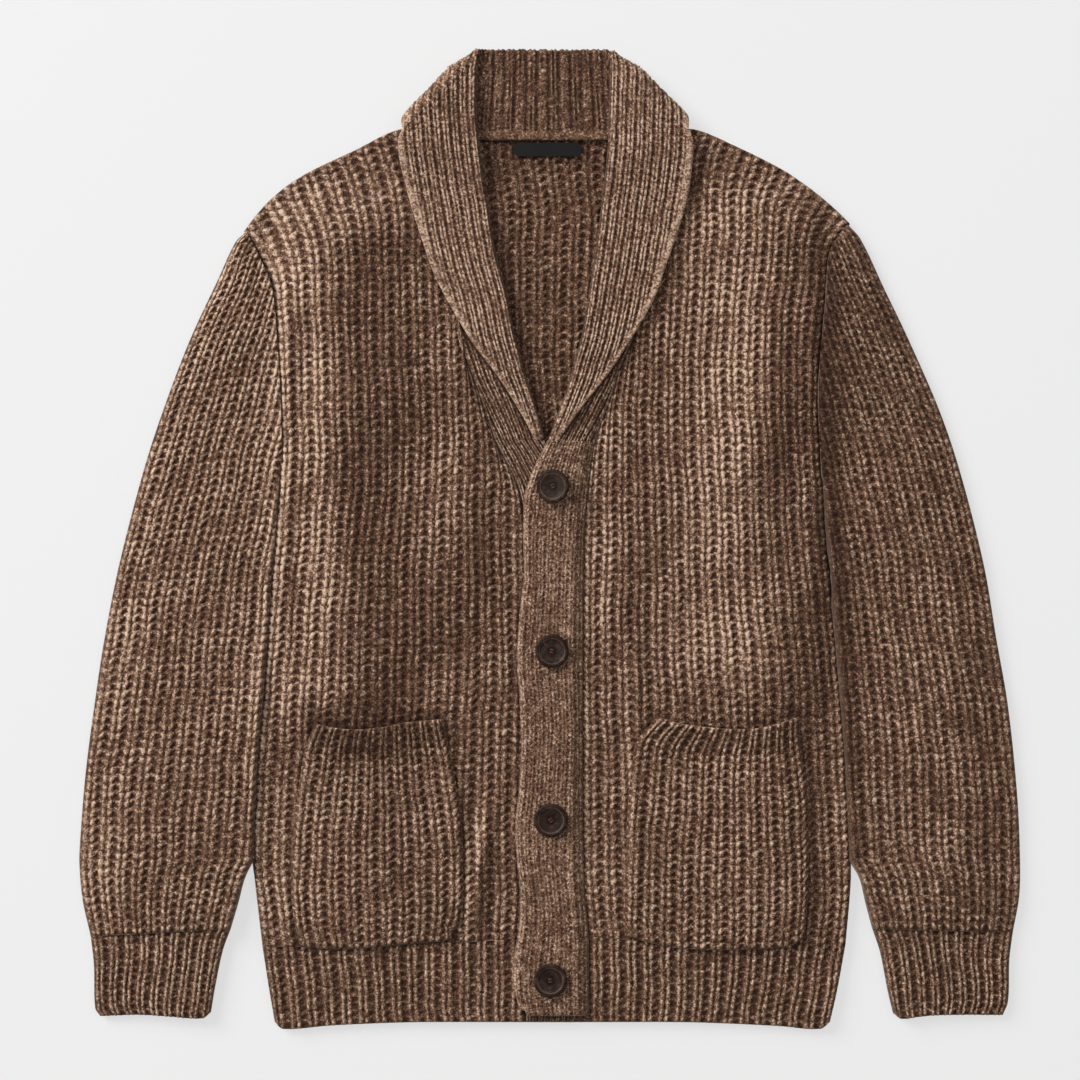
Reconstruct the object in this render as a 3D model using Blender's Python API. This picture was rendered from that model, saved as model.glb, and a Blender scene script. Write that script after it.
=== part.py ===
"""Shawl collar cardigan in chunky ribbed wool, laid flat on its back and buttoned.

+X is the wearer's left, +Y the collar end, +Z up from the surface. The tables are in
millimetres from the middle of the garment; left in a name means the -X side.
"""

import math

import bmesh
import bpy

MM = 0.001

# Knitted cloth.
WALL = 3.4  # plain wall under the ribs
RIB = 1.4  # height of a rib above the wall
CLOTH = WALL + RIB
GAP = 0.4  # between pieces at a seam and between layers
BACK_THICK = 4.0
FRONT_BASE = BACK_THICK + GAP
EDGE_SHARE = 0.45  # an edge's height against the cloth's, where it rounds off
EDGE_ROUND = 2.4  # distance over which it rounds

# Ribs across each piece.
FRONT_RIBS = 15
SLEEVE_RIBS = 10
CUFF_RIBS = 9
BAND_RIBS = 8
UNDER_RIBS = 4
POCKET_RIBS_LEFT = 10
POCKET_RIBS_RIGHT = 11
COLLAR_RIBS = 8
STAND_RIBS = 11

# Segments along shared seams.
SIDE_STEPS = 11
ARMHOLE_STEPS = 10
CONTACT_STEP = 2  # up to this point of the side, the sleeve hangs free of the body

# Outlines, each row x, y.
SIDE_LEFT = [  # hem up to the underarm
    (-229.7, -326.4),
    (-235.7, -274.4),
    (-238.1, -251.2),
    (-234.5, -177.6),
    (-229.3, -121.6),
    (-222.1, -25.6),
    (-214.5, 59.2),
]
SIDE_RIGHT = [
    (236.7, -324.8),
    (240.9, -273.6),
    (240.3, -244.0),
    (236.6, -167.2),
    (230.7, -97.6),
    (223.5, -17.6),
    (218.7, 46.4),
]
ARMHOLE_LEFT = [  # underarm up to the shoulder
    (-214.5, 59.2),
    (-215.7, 110.4),
    (-219.1, 160.0),
    (-222.8, 198.4),
    (-231.7, 220.8),
    (-244.5, 245.2),
]
ARMHOLE_RIGHT = [
    (218.7, 46.4),
    (215.5, 94.4),
    (216.3, 140.8),
    (221.9, 190.4),
    (225.9, 230.4),
    (240.3, 251.2),
]
SHOULDER_LEFT = [  # armhole to the neck
    (-244.5, 245.2),
    (-233.8, 259.2),
    (-222.8, 271.0),
    (-208.0, 283.0),
    (-189.7, 294.0),
    (-156.6, 309.6),
    (-119.9, 326.8),
    (-97.0, 325.0),
]
SHOULDER_RIGHT = [
    (240.3, 251.2),
    (229.7, 261.8),
    (216.8, 272.8),
    (202.1, 284.0),
    (185.6, 294.9),
    (148.9, 313.3),
    (115.5, 326.8),
    (94.0, 325.0),
]
NECK_EDGE_LEFT = [  # shoulder down to the foot of the V
    (-97.0, 325.0),
    (-90.0, 264.0),
    (-82.2, 208.8),
    (-79.3, 188.0),
    (-73.8, 156.8),
    (-62.9, 128.0),
    (-53.2, 101.6),
    (-45.0, 77.0),
    (-36.2, 60.4),
    (-27.6, 43.0),
]
NECK_EDGE_RIGHT = [
    (94.0, 325.0),
    (84.8, 266.4),
    (76.6, 216.0),
    (73.0, 192.0),
    (68.2, 162.4),
    (57.4, 136.0),
    (51.8, 116.8),
    (44.8, 98.4),
    (37.1, 74.8),
    (32.7, 48.0),
]
BACK_NECK = [  # left shoulder to right
    (-97.0, 325.0),
    (-73.3, 322.8),
    (-55.7, 321.6),
    (-3.7, 321.2),
    (45.1, 321.2),
    (69.1, 322.4),
    (94.0, 325.0),
]
INNER_LEFT = [(-19.4, -320.4), (-19.4, -209.6), (-19.4, -89.6), (-19.8, -1.6), (-22.0, 22.0), (-27.6, 43.0)]
INNER_RIGHT = [(31.5, -318.4), (28.3, -273.6), (27.1, -209.6), (27.5, -89.6), (28.7, 6.4), (32.7, 48.0)]
HEM_LINE_LEFT = [(-229.7, -326.4), (-175.7, -326.4), (-119.7, -324.8), (-19.4, -320.4)]
HEM_LINE_RIGHT = [(31.5, -318.4), (80.3, -322.4), (152.3, -325.6), (236.7, -324.8)]
HEM_SIDE_LEFT = [(-229.7, -326.4), (-224.9, -357.6), (-219.9, -387.0)]
HEM_SIDE_RIGHT = [(236.7, -324.8), (230.3, -360.0), (224.3, -387.0)]
HEM_FOOT_LEFT = [
    (-219.9, -387.0),
    (-213.3, -392.6),
    (-176.5, -390.0),
    (-139.7, -388.2),
    (-102.9, -387.2),
    (-19.4, -387.2),
]
HEM_FOOT_RIGHT = [
    (32.3, -387.2),
    (104.3, -387.2),
    (144.3, -388.4),
    (184.3, -390.4),
    (216.3, -392.6),
    (224.3, -387.0),
]
SLEEVE_OUTER_LEFT = [  # shoulder down to the cuff
    (-244.5, 245.2),
    (-251.2, 237.0),
    (-265.0, 207.7),
    (-288.8, 156.2),
    (-310.9, 97.6),
    (-325.6, 51.5),
    (-344.5, -21.6),
    (-356.4, -81.6),
    (-363.9, -130.9),
    (-371.4, -188.8),
    (-375.7, -242.4),
    (-376.3, -260.8),
    (-373.7, -289.6),
    (-367.3, -318.4),
]
SLEEVE_OUTER_RIGHT = [
    (240.3, 251.2),
    (249.0, 238.9),
    (268.3, 198.4),
    (286.7, 160.0),
    (312.3, 101.1),
    (328.9, 51.5),
    (347.5, -21.6),
    (357.7, -81.6),
    (366.7, -133.6),
    (373.9, -201.6),
    (376.3, -249.6),
    (375.9, -285.6),
    (370.7, -315.2),
]
SLEEVE_END_LEFT = [(-243.6, -272.0), (-249.0, -292.0), (-254.9, -312.0)]  # below the contact
SLEEVE_END_RIGHT = [(247.6, -272.0), (252.6, -292.0), (257.9, -312.0)]
CUFF_OUTER_LEFT = [(-367.3, -318.4), (-364.7, -341.6), (-363.7, -376.0), (-359.7, -382.4)]
CUFF_INNER_LEFT = [(-254.9, -312.0), (-261.3, -329.6), (-267.3, -357.6), (-270.9, -379.2)]
CUFF_FOOT_LEFT = [(-270.9, -379.2), (-277.3, -383.6), (-303.7, -382.4), (-327.7, -381.2), (-359.7, -382.4)]
CUFF_OUTER_RIGHT = [(370.7, -315.2), (367.9, -337.6), (366.9, -370.4), (362.7, -381.6)]
CUFF_INNER_RIGHT = [(257.9, -312.0), (264.3, -331.2), (270.3, -361.6), (274.7, -380.0)]
CUFF_FOOT_RIGHT = [(274.7, -380.0), (281.1, -384.0), (300.3, -381.8), (328.3, -381.2), (362.7, -381.6)]

# Front bands, each edge from the foot up.
UNDER_RIGHT = [(17.9, -387.2), (17.9, -177.6), (17.9, 6.4), (13.9, 40.0), (5.9, 62.4), (-3.4, 77.6)]
UNDER_LEFT = [
    (-19.0, -387.2),
    (-19.0, -320.4),
    (-19.0, -209.6),
    (-19.0, -89.6),
    (-19.2, -1.6),
    (-21.0, 22.0),
    (-26.2, 43.4),
    (-34.8, 60.8),
    (-42.9, 76.4),
]
OVER_LEFT = [
    (-23.5, -377.0),
    (-28.7, -357.6),
    (-28.7, -336.0),
    (-24.7, -311.2),
    (-23.7, -281.6),
    (-26.5, -252.8),
    (-27.5, -224.0),
    (-24.5, -200.8),
    (-22.8, -165.6),
    (-24.1, -127.2),
    (-26.4, -93.6),
    (-23.2, -52.0),
    (-20.7, -29.6),
    (-21.3, 6.4),
    (-20.2, 34.4),
    (-16.8, 45.3),
    (-13.5, 54.4),
    (-2.4, 76.6),
]
OVER_RIGHT = [
    (31.9, -381.2),
    (31.1, -318.4),
    (27.9, -273.6),
    (26.7, -209.6),
    (27.1, -89.6),
    (28.3, 6.4),
    (32.2, 48.0),
    (36.1, 73.4),
]
OVER_FOOT = [(-23.5, -377.0), (-19.5, -380.4), (-7.7, -381.2), (31.9, -381.2)]
OVER_BASE = 9.6  # the top band's underside, over the lower band
OVER_SLOPE = 9.0  # width over which it comes down to the right front

# Patch pockets.
POCKET_LEFT = {
    "top": [
        (-186.1, -147.2),
        (-171.1, -150.4),
        (-152.8, -151.8),
        (-134.4, -150.4),
        (-114.1, -146.6),
        (-86.1, -144.0),
    ],
    "left": [
        (-199.7, -324.0),
        (-204.5, -299.2),
        (-206.1, -269.6),
        (-202.4, -216.5),
        (-194.9, -168.8),
        (-186.1, -147.2),
    ],
    "right": [
        (-73.3, -318.4),
        (-69.7, -288.0),
        (-69.3, -260.0),
        (-70.1, -231.2),
        (-75.7, -190.4),
        (-86.1, -144.0),
    ],
    "foot": [
        (-199.7, -324.0),
        (-191.7, -326.8),
        (-158.1, -327.6),
        (-119.7, -324.4),
        (-79.7, -321.2),
        (-73.3, -318.4),
    ],
}
POCKET_RIGHT = {
    "top": [
        (85.9, -142.4),
        (104.3, -147.6),
        (124.3, -150.4),
        (147.5, -152.0),
        (169.9, -150.4),
        (197.9, -142.0),
    ],
    "left": [
        (60.3, -316.8),
        (60.3, -273.6),
        (62.3, -217.6),
        (65.9, -179.2),
        (69.9, -161.6),
        (85.9, -142.4),
    ],
    "right": [
        (203.5, -316.8),
        (205.9, -281.6),
        (206.3, -229.6),
        (204.7, -197.6),
        (200.3, -165.6),
        (197.9, -142.0),
    ],
    "foot": [
        (60.3, -316.8),
        (77.9, -322.4),
        (101.9, -327.2),
        (152.3, -328.4),
        (192.3, -324.8),
        (203.5, -316.8),
    ],
}
POCKET_GAP = 0.5
POCKET_WALL = 3.0
POCKET_RIB = 1.2

# Soft lengthwise folds in the fronts: x and y at the foot, x and y at the top, half width, height.
FOLDS = [
    (-232.0, -215.0, -208.0, 215.0, 12.0, 3.2),
    (-168.0, -100.0, -184.0, 235.0, 26.0, 5.0),
    (-82.0, -110.0, -86.0, 90.0, 26.0, 3.5),
    (146.0, -50.0, 172.0, 225.0, 27.0, 5.0),
    (54.0, -110.0, 52.0, 30.0, 14.0, 2.0),
]
FOLD_FADE = 60.0  # length over which a fold dies away at its ends

# Collar: roll x, y; free edge x, y; seam x, y; height between its two layers, and at its roll.
LAPEL_LEFT = [
    (-3.9, 80.0, -11.4, 77.4, -43.3, 77.6, 9.4, 9.4),
    (-10.1, 101.6, -24.1, 100.8, -51.6, 101.6, 9.4, 9.4),
    (-18.9, 129.6, -41.3, 128.0, -61.0, 128.0, 9.4, 9.4),
    (-28.1, 164.0, -63.3, 157.6, -71.0, 156.8, 9.4, 9.4),
    (-32.9, 190.4, -81.3, 188.0, -76.4, 188.0, 9.4, 9.4),
    (-38.5, 210.4, -92.1, 208.8, -79.4, 208.8, 9.4, 9.4),
    (-44.1, 234.4, -100.5, 232.0, -83.0, 232.8, 9.4, 9.4),
    (-48.9, 264.8, -110.5, 263.2, -87.4, 264.0, 9.6, 9.6),
    (-53.3, 292.8, -117.3, 288.8, -91.0, 292.8, 11.8, 11.8),
    (-56.1, 316.8, -120.6, 305.0, -92.7, 312.8, 14.8, 13.6),
    (-57.9, 340.8, -121.2, 312.5, -94.9, 322.4, 15.0, 12.9),
    (-58.2, 362.4, -120.8, 318.0, -98.1, 331.2, 15.0, 11.6),
    (-57.5, 378.0, -120.0, 321.0, -99.6, 337.0, 15.0, 10.3),
    (-55.1, 390.2, -119.2, 323.0, -101.0, 341.6, 15.0, 9.7),
]
LAPEL_RIGHT = [
    (-1.7, 78.0, 5.7, 75.8, 35.9, 74.8, 14.2, 14.2),
    (6.3, 99.2, 20.3, 96.4, 43.7, 98.4, 13.6, 13.6),
    (13.1, 118.4, 35.5, 115.8, 50.7, 116.8, 12.2, 12.2),
    (18.3, 136.0, 50.3, 135.2, 56.3, 136.0, 10.8, 10.8),
    (25.5, 162.4, 67.9, 162.4, 67.2, 162.4, 9.8, 9.8),
    (30.7, 192.8, 84.7, 192.0, 72.0, 192.0, 9.4, 9.4),
    (34.3, 216.0, 92.7, 215.2, 75.6, 216.0, 9.4, 9.4),
    (37.9, 240.0, 101.1, 239.2, 79.4, 240.0, 9.4, 9.4),
    (41.1, 266.4, 108.9, 264.4, 83.8, 266.4, 9.6, 9.6),
    (44.3, 292.8, 113.2, 288.8, 87.9, 292.8, 11.8, 11.8),
    (46.3, 316.8, 114.7, 305.0, 89.5, 312.8, 14.8, 13.6),
    (46.9, 340.8, 114.9, 312.5, 90.7, 322.4, 15.0, 12.9),
    (47.9, 362.4, 114.3, 318.0, 93.1, 330.4, 15.0, 11.6),
    (48.1, 376.4, 113.5, 321.0, 94.0, 335.5, 15.0, 10.3),
    (47.5, 388.6, 112.3, 323.4, 95.2, 340.6, 15.0, 9.7),
]
BEHIND_LEFT = [  # the same, past the turn over the shoulder
    (-54.6, 391.2, -94.5, 336.0, -91.0, 333.6, 4.4, 8.0),
    (-53.2, 391.8, -80.5, 328.2, -76.5, 321.6, 4.4, 5.8),
]
BEHIND_RIGHT = [
    (47.2, 390.0, 88.5, 335.4, 85.0, 333.0, 4.4, 8.0),
    (46.2, 391.4, 74.9, 328.0, 70.9, 321.2, 4.4, 5.8),
]
TURN_STEPS = 5
TURN_OUT_LEFT = (-0.70, 0.71)  # the way the collar goes over the shoulder
TURN_OUT_RIGHT = (0.67, 0.74)
TURN_RADIUS = 5.3
TURN_HEIGHT = 9.7
TURN_CUT = 7.8  # the fall is this much shorter for each radian of the turn
BEHIND_HEIGHT = TURN_HEIGHT - TURN_RADIUS
NAPE_LEFT = -51.5  # the stand's outermost straight ribs
NAPE_RIGHT = 45.0
NAPE_ROLL = 392.0
NAPE_FREE = 324.6
NAPE_SEAM = 317.4
NAPE_FAN = 1.12  # the stand is this much longer at its seam than at the roll
LAYER = 4.2  # thickness of one layer of the collar with its ribs
LAYER_RIB = 1.2
HALF_GAP = 0.2
ROLL_DEPTH = 4.4
TURN_REACH = 26.0  # the turn is full this far from the roll
MELT_FOOT = 78.0  # below here the two layers are one
MELT_LENGTH_LEFT = 9.0
MELT_LENGTH_RIGHT = 26.0

# Buttons from the top: x, y, tilt in degrees.
BUTTONS = [(3.1, 41.3, 14.0), (1.9, -90.0, 0.0), (0.9, -224.6, 0.0), (0.5, -352.0, 0.0)]
BUTTON_RADIUS = 13.3
BUTTON_TILT_LIFT = 2.3
BUTTON_PROFILE = [  # share of the radius, height
    (0.80, 0.0),
    (0.97, 1.1),
    (1.00, 2.6),
    (0.90, 3.9),
    (0.76, 3.6),
    (0.55, 2.4),
]
BUTTON_MIDDLE = 2.1
BUTTON_SIDES = 24
OVER_TOP = OVER_BASE + CLOTH

LABEL_LEFT, LABEL_RIGHT = -29.3, 25.9
LABEL_TOP, LABEL_FOOT = 316.0, 305.2
LABEL_THICK = 0.8
LABEL_CORNER = 3.0

WOOL = (0.17, 0.105, 0.07, 1.0)
DARK_WOOL = (0.13, 0.08, 0.055, 1.0)
HORN = (0.022, 0.015, 0.012, 1.0)
BLACK = (0.012, 0.012, 0.013, 1.0)


# Lines.


def smooth(points, parts=8):
    """A soft line through a table's points, as close points."""
    line = []
    last = len(points) - 1
    for i in range(last):
        before = points[max(i - 1, 0)]
        start = points[i]
        end = points[i + 1]
        after = points[min(i + 2, last)]
        step = math.dist(start, end)
        bend_in = step / max(math.dist(before, end), 1e-9)
        bend_out = step / max(math.dist(start, after), 1e-9)
        for k in range(parts):
            t = k / parts
            a = 2 * t**3 - 3 * t**2 + 1
            b = t**3 - 2 * t**2 + t
            c = -2 * t**3 + 3 * t**2
            d = t**3 - t**2
            point = []
            for p, q, r, s in zip(before, start, end, after):
                point.append(a * q + b * bend_in * (r - p) + c * r + d * bend_out * (s - q))
            line.append(tuple(point))
    line.append(points[-1])
    return line


def spread(line, count):
    """The same line as count equal segments."""
    marks = [0.0]
    for a, b in zip(line, line[1:]):
        marks.append(marks[-1] + math.dist(a, b))
    result = []
    k = 0
    for i in range(count + 1):
        want = marks[-1] * i / count
        while k < len(line) - 2 and marks[k + 1] < want:
            k += 1
        share = (want - marks[k]) / max(marks[k + 1] - marks[k], 1e-9)
        result.append(tuple(p + (q - p) * share for p, q in zip(line[k], line[k + 1])))
    return result


def at_index(line, t):
    """The point at share t of a line, counted in its segments."""
    place = min(max(t, 0.0), 1.0) * (len(line) - 1)
    k = min(int(place), len(line) - 2)
    share = place - k
    return tuple(p + (q - p) * share for p, q in zip(line[k], line[k + 1]))


def at_x(line, x):
    """The height of a left-to-right line at x."""
    for (ax, ay), (bx, by) in zip(line, line[1:]):
        if x <= bx:
            return ay + (by - ay) * (x - ax) / max(bx - ax, 1e-9)
    return line[-1][1]


def moved(line, dx, dy):
    return [(x + dx, y + dy) for x, y in line]


def ease(t):
    t = min(max(t, 0.0), 1.0)
    return t * t * (3 - 2 * t)


def patch(foot, top, left, right):
    """A surface between four edges; u goes from left to right and v from foot to top."""

    def at(u, v):
        fx, fy = foot(u)
        tx, ty = top(u)
        lx, ly = left(v)
        rx, ry = right(v)
        corners = (foot(0.0), foot(1.0), top(0.0), top(1.0))
        shares = ((1 - u) * (1 - v), u * (1 - v), (1 - u) * v, u * v)
        cx = sum(c[0] * s for c, s in zip(corners, shares))
        cy = sum(c[1] * s for c, s in zip(corners, shares))
        x = (1 - v) * fx + v * tx + (1 - u) * lx + u * rx - cx
        y = (1 - v) * fy + v * ty + (1 - u) * ly + u * ry - cy
        return x, y

    return at


def edge(line):
    """A patch edge through a line's own points."""
    return lambda t: at_index(line, t)


# Stations across and along a piece, each a share and what the cloth does there.


def rib_marks(ribs, width):
    marks = [(0.0, "edge"), (EDGE_ROUND / width, "low")]
    for k in range(ribs):
        marks.append(((k + 0.5) / ribs, "high"))
        if k < ribs - 1:
            marks.append(((k + 1) / ribs, "low"))
    marks += [(1 - EDGE_ROUND / width, "low"), (1.0, "edge")]
    return marks


def plain_marks(steps, width):
    marks = [(k / steps, "low") for k in range(1, steps)]
    inset = EDGE_ROUND / width
    return [(0.0, "edge"), (inset, "low")] + marks + [(1 - inset, "low"), (1.0, "edge")]


def cloth_height(across, along, wall, rib):
    """The cloth's thickness at a station."""
    if "edge" in (across, along):
        return EDGE_SHARE * (wall + rib)
    return wall + (rib if across == "high" else 0.0)


def fold_lift(x, y):
    """How far the fronts rise off the back."""
    lift = 0.0
    for foot_x, foot_y, top_x, top_y, half, height in FOLDS:
        share = (y - foot_y) / (top_y - foot_y)
        middle = foot_x + (top_x - foot_x) * share
        fade = ease((y - foot_y) / FOLD_FADE) * ease((top_y - y) / FOLD_FADE)
        lift += height * fade * math.exp(-(((x - middle) / half) ** 2))
    return lift


# Meshes.


class Piece:
    """Points and faces of one closed solid, in millimetres."""

    def __init__(self, name, colour, roughness=0.9):
        self.name = name
        self.colour = colour
        self.roughness = roughness
        self.points = []
        self.faces = []

    def add(self, x, y, z):
        self.points.append((x * MM, y * MM, z * MM))
        return len(self.points) - 1

    def face(self, corners):
        kept = [c for n, c in enumerate(corners) if c != corners[n - 1]]
        if len(kept) > 2:
            self.faces.append(kept)

    def band(self, first, second):
        """Four-sided faces between two closed rings of points."""
        for n in range(len(first)):
            self.face([first[n - 1], first[n], second[n], second[n - 1]])

    def make(self):
        mesh = bpy.data.meshes.new(self.name)
        mesh.from_pydata(self.points, [], self.faces)
        work = bmesh.new()
        work.from_mesh(mesh)
        bmesh.ops.recalc_face_normals(work, faces=work.faces)
        bmesh.ops.triangulate(work, faces=work.faces, quad_method="BEAUTY", ngon_method="BEAUTY")
        work.to_mesh(mesh)
        work.free()
        for polygon in mesh.polygons:
            polygon.use_smooth = True
        mesh.set_sharp_from_angle(angle=math.radians(50))
        material = bpy.data.materials.new(self.name)
        material.use_nodes = True
        shader = material.node_tree.nodes["Principled BSDF"]
        shader.inputs["Base Color"].default_value = self.colour
        shader.inputs["Roughness"].default_value = self.roughness
        mesh.materials.append(material)
        thing = bpy.data.objects.new(self.name, mesh)
        bpy.context.collection.objects.link(thing)
        return thing


def walk(marks, chosen):
    """Indices of the stations that the plain side keeps: its ends and every chosen one."""
    last = len(marks) - 1
    return sorted({0, last} | {n for n in range(2, last - 1, chosen)})


def sheet(name, at, across, along, base, wall=WALL, rib=RIB, skip=(5, 4), colour=WOOL):
    """One layer of cloth with ribs on top and a plain underside."""
    piece = Piece(name, colour)
    last_i = len(across) - 1
    last_j = len(along) - 1
    upper = {}
    lower = {}
    for i, (u, kind_u) in enumerate(across):
        for j, (v, kind_v) in enumerate(along):
            x, y = at(u, v)
            upper[i, j] = piece.add(x, y, base(x, y) + cloth_height(kind_u, kind_v, wall, rib))

    def low(i, j):
        if (i, j) not in lower:
            x, y = at(across[i][0], along[j][0])
            lower[i, j] = piece.add(x, y, base(x, y))
        return lower[i, j]

    for i in range(last_i):
        for j in range(last_j):
            piece.face([upper[i, j], upper[i + 1, j], upper[i + 1, j + 1], upper[i, j + 1]])
    rim = [(i, 0) for i in range(last_i)]
    rim += [(last_i, j) for j in range(last_j)]
    rim += [(i, last_j) for i in range(last_i, 0, -1)]
    rim += [(0, j) for j in range(last_j, 0, -1)]
    piece.band([upper[k] for k in rim], [low(*k) for k in rim])
    columns = walk(across, skip[0])
    rows = walk(along, skip[1])
    for i0, i1 in zip(columns, columns[1:]):
        for j0, j1 in zip(rows, rows[1:]):
            outline = [(i, j0) for i in (range(i0, i1) if j0 == 0 else (i0,))]
            outline += [(i1, j) for j in (range(j0, j1) if i1 == last_i else (j0,))]
            outline += [(i, j1) for i in (range(i1, i0, -1) if j1 == last_j else (i1,))]
            outline += [(i0, j) for j in (range(j1, j0, -1) if i0 == 0 else (j1,))]
            piece.face([low(i, j) for i, j in outline])
    return piece.make()


def tube(name, at, across, along, puff, colour=WOOL):
    """A flat tube: ribs on top, a flat underside and a slit between its two layers."""
    piece = Piece(name, colour)
    last = len(across) - 1
    under = list(range(3, last - 2, 5))
    slit = sorted({2, last - 2} | set(range(4, last - 3, 7)))
    rings = []
    linings = []
    for v, kind_v in along:
        tops = []
        for i, (u, kind_u) in enumerate(across):
            x, y = at(u, v)
            end = kind_u == "edge"
            rise = FRONT_BASE + puff(u) + (WALL + (RIB if kind_u == "high" else 0.0))
            height = 0.5 * rise if end else rise
            if kind_v == "edge" and not end:
                height -= 1.3
            tops.append(piece.add(x, y, height))
        bottoms = []
        for i in [last - 1] + under[::-1] + [1]:
            x, y = at(across[i][0], v)
            bottoms.append(piece.add(x, y, 0.0))
        rings.append(tops + bottoms)
        roof = []
        floor = []
        for i in slit:
            x, y = at(across[i][0], v)
            if i in (slit[0], slit[-1]):
                roof.append(piece.add(x, y, BACK_THICK + 0.2))
            else:
                roof.append(piece.add(x, y, FRONT_BASE + puff(across[i][0])))
                floor.append(piece.add(x, y, BACK_THICK))
        linings.append((roof, floor))
    for j in range(len(along) - 1):
        piece.band(rings[j], rings[j + 1])
        first = linings[j][0] + linings[j][1][::-1]
        second = linings[j + 1][0] + linings[j + 1][1][::-1]
        piece.band(second, first)
    bottom_at = {last - 1: last + 1, 1: last + 2 + len(under)}
    for n, i in enumerate(under[::-1]):
        bottom_at[i] = last + 2 + n
    for ring, (roof, floor) in ((rings[0], linings[0]), (rings[-1], linings[-1])):
        for n in range(len(slit) - 1):
            piece.face([ring[i] for i in range(slit[n], slit[n + 1] + 1)] + [roof[n + 1], roof[n]])
        nodes = [roof[0]] + floor + [roof[-1]]
        foot = [1] + under + [last - 1]
        marks = [slit[0]] + slit[1:-1] + [slit[-1]]
        k = 0
        for n in range(len(nodes) - 1):
            reach = [foot[k]]
            while k < len(foot) - 1 and (foot[k + 1] <= marks[n + 1] or n == len(nodes) - 2):
                k += 1
                reach.append(foot[k])
            piece.face([nodes[n + 1], nodes[n]] + [ring[bottom_at[i]] for i in reach])
        piece.face([ring[bottom_at[1]], ring[0], ring[1], ring[slit[0]], roof[0]])
        piece.face([ring[slit[-1]], ring[last - 1], ring[last], ring[bottom_at[last - 1]], roof[-1]])
    return piece.make()


# Shared seams.

SIDE_L = spread(smooth(SIDE_LEFT), SIDE_STEPS)
SIDE_R = spread(smooth(SIDE_RIGHT), SIDE_STEPS)
ARM_L = spread(smooth(ARMHOLE_LEFT), ARMHOLE_STEPS)
ARM_R = spread(smooth(ARMHOLE_RIGHT), ARMHOLE_STEPS)
BODY_L = SIDE_L + ARM_L[1:]
BODY_R = SIDE_R + ARM_R[1:]
ROWS = len(BODY_L) - 1


def top_edge(shoulder, neck):
    """A front's upper edge by its x: the shoulder, then down the neck edge."""
    line = smooth(shoulder) + smooth(neck)[1:]
    line = line if line[0][0] < line[-1][0] else line[::-1]
    foot, end = line[0][0], line[-1][0]

    def at(u):
        x = foot + (end - foot) * u
        return x, at_x(line, x)

    return at


def flat_base(height):
    return lambda x, y: height


def front_base(x, y):
    return FRONT_BASE + fold_lift(x, y)


def build_back():
    foot_line = smooth(HEM_LINE_LEFT) + smooth(HEM_LINE_RIGHT)
    top_line = smooth(SHOULDER_LEFT) + smooth(BACK_NECK)[1:] + smooth(SHOULDER_RIGHT)[::-1][1:]
    start = foot_line[0][0]
    reach = foot_line[-1][0] - start

    def hem_seam(u):
        return start + reach * u, at_x(foot_line, start + reach * u)

    at = patch(hem_seam, edge(spread(top_line, 48)), edge(BODY_L), edge(BODY_R))
    across = plain_marks(24, 450.0)
    along = plain_marks(ROWS, 640.0)
    sheet("back", at, across, along, flat_base(0.0), wall=BACK_THICK, rib=0.0, skip=(4, 4))
    hem_line = [at(u, 0.0) for u, kind in across]
    hem_left = spread(smooth(HEM_SIDE_LEFT), 3)
    hem_right = spread(smooth(HEM_SIDE_RIGHT), 3)
    foot = smooth(HEM_FOOT_LEFT) + smooth(HEM_FOOT_RIGHT)
    marks = [u for u, kind in across]

    def by_mark(line):
        def at_share(u):
            for n in range(len(marks) - 1):
                if u <= marks[n + 1]:
                    share = (u - marks[n]) / (marks[n + 1] - marks[n])
                    return tuple(p + (q - p) * share for p, q in zip(line[n], line[n + 1]))
            return line[-1]

        return at_share

    hem_top = by_mark(moved(hem_line, 0.0, -GAP))
    hem = patch(edge(spread(foot, 48)), hem_top, edge(hem_left[::-1]), edge(hem_right[::-1]))
    rows = plain_marks(4, 60.0)
    sheet("hem_back", hem, across, rows, flat_base(0.0), wall=BACK_THICK, rib=0.0, skip=(4, 3))


def build_front(side, body, shoulder, neck, inner, hem_line, hem_side, hem_foot):
    """A front and the hem under it; the hem shares the front's ribs."""
    foot = edge(spread(smooth(hem_line), 2 * FRONT_RIBS))
    inner_line = spread(smooth(inner), ROWS)
    across = rib_marks(FRONT_RIBS, 200.0)
    along = plain_marks(ROWS, 580.0)
    top = top_edge(shoulder, neck)
    hem_edge = edge(spread(smooth(hem_side), 3)[::-1])
    hem_low = edge(spread(smooth(hem_foot), 2 * FRONT_RIBS))
    end = -1 if side == "left" else 0
    hem_inner = edge([hem_foot[end], (hem_line[end][0], hem_line[end][1] - GAP)])

    def hem_top(u):
        x, y = foot(u)
        return x, y - GAP

    if side == "left":
        at = patch(foot, top, edge(body), edge(inner_line))
        hem = patch(hem_low, hem_top, hem_edge, hem_inner)
    else:
        at = patch(foot, top, edge(inner_line), edge(body))
        hem = patch(hem_low, hem_top, hem_inner, hem_edge)
    sheet("front_" + side, at, across, along, front_base, skip=(4, 3))
    sheet("hem_" + side, hem, across, plain_marks(4, 60.0), flat_base(FRONT_BASE))


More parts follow.
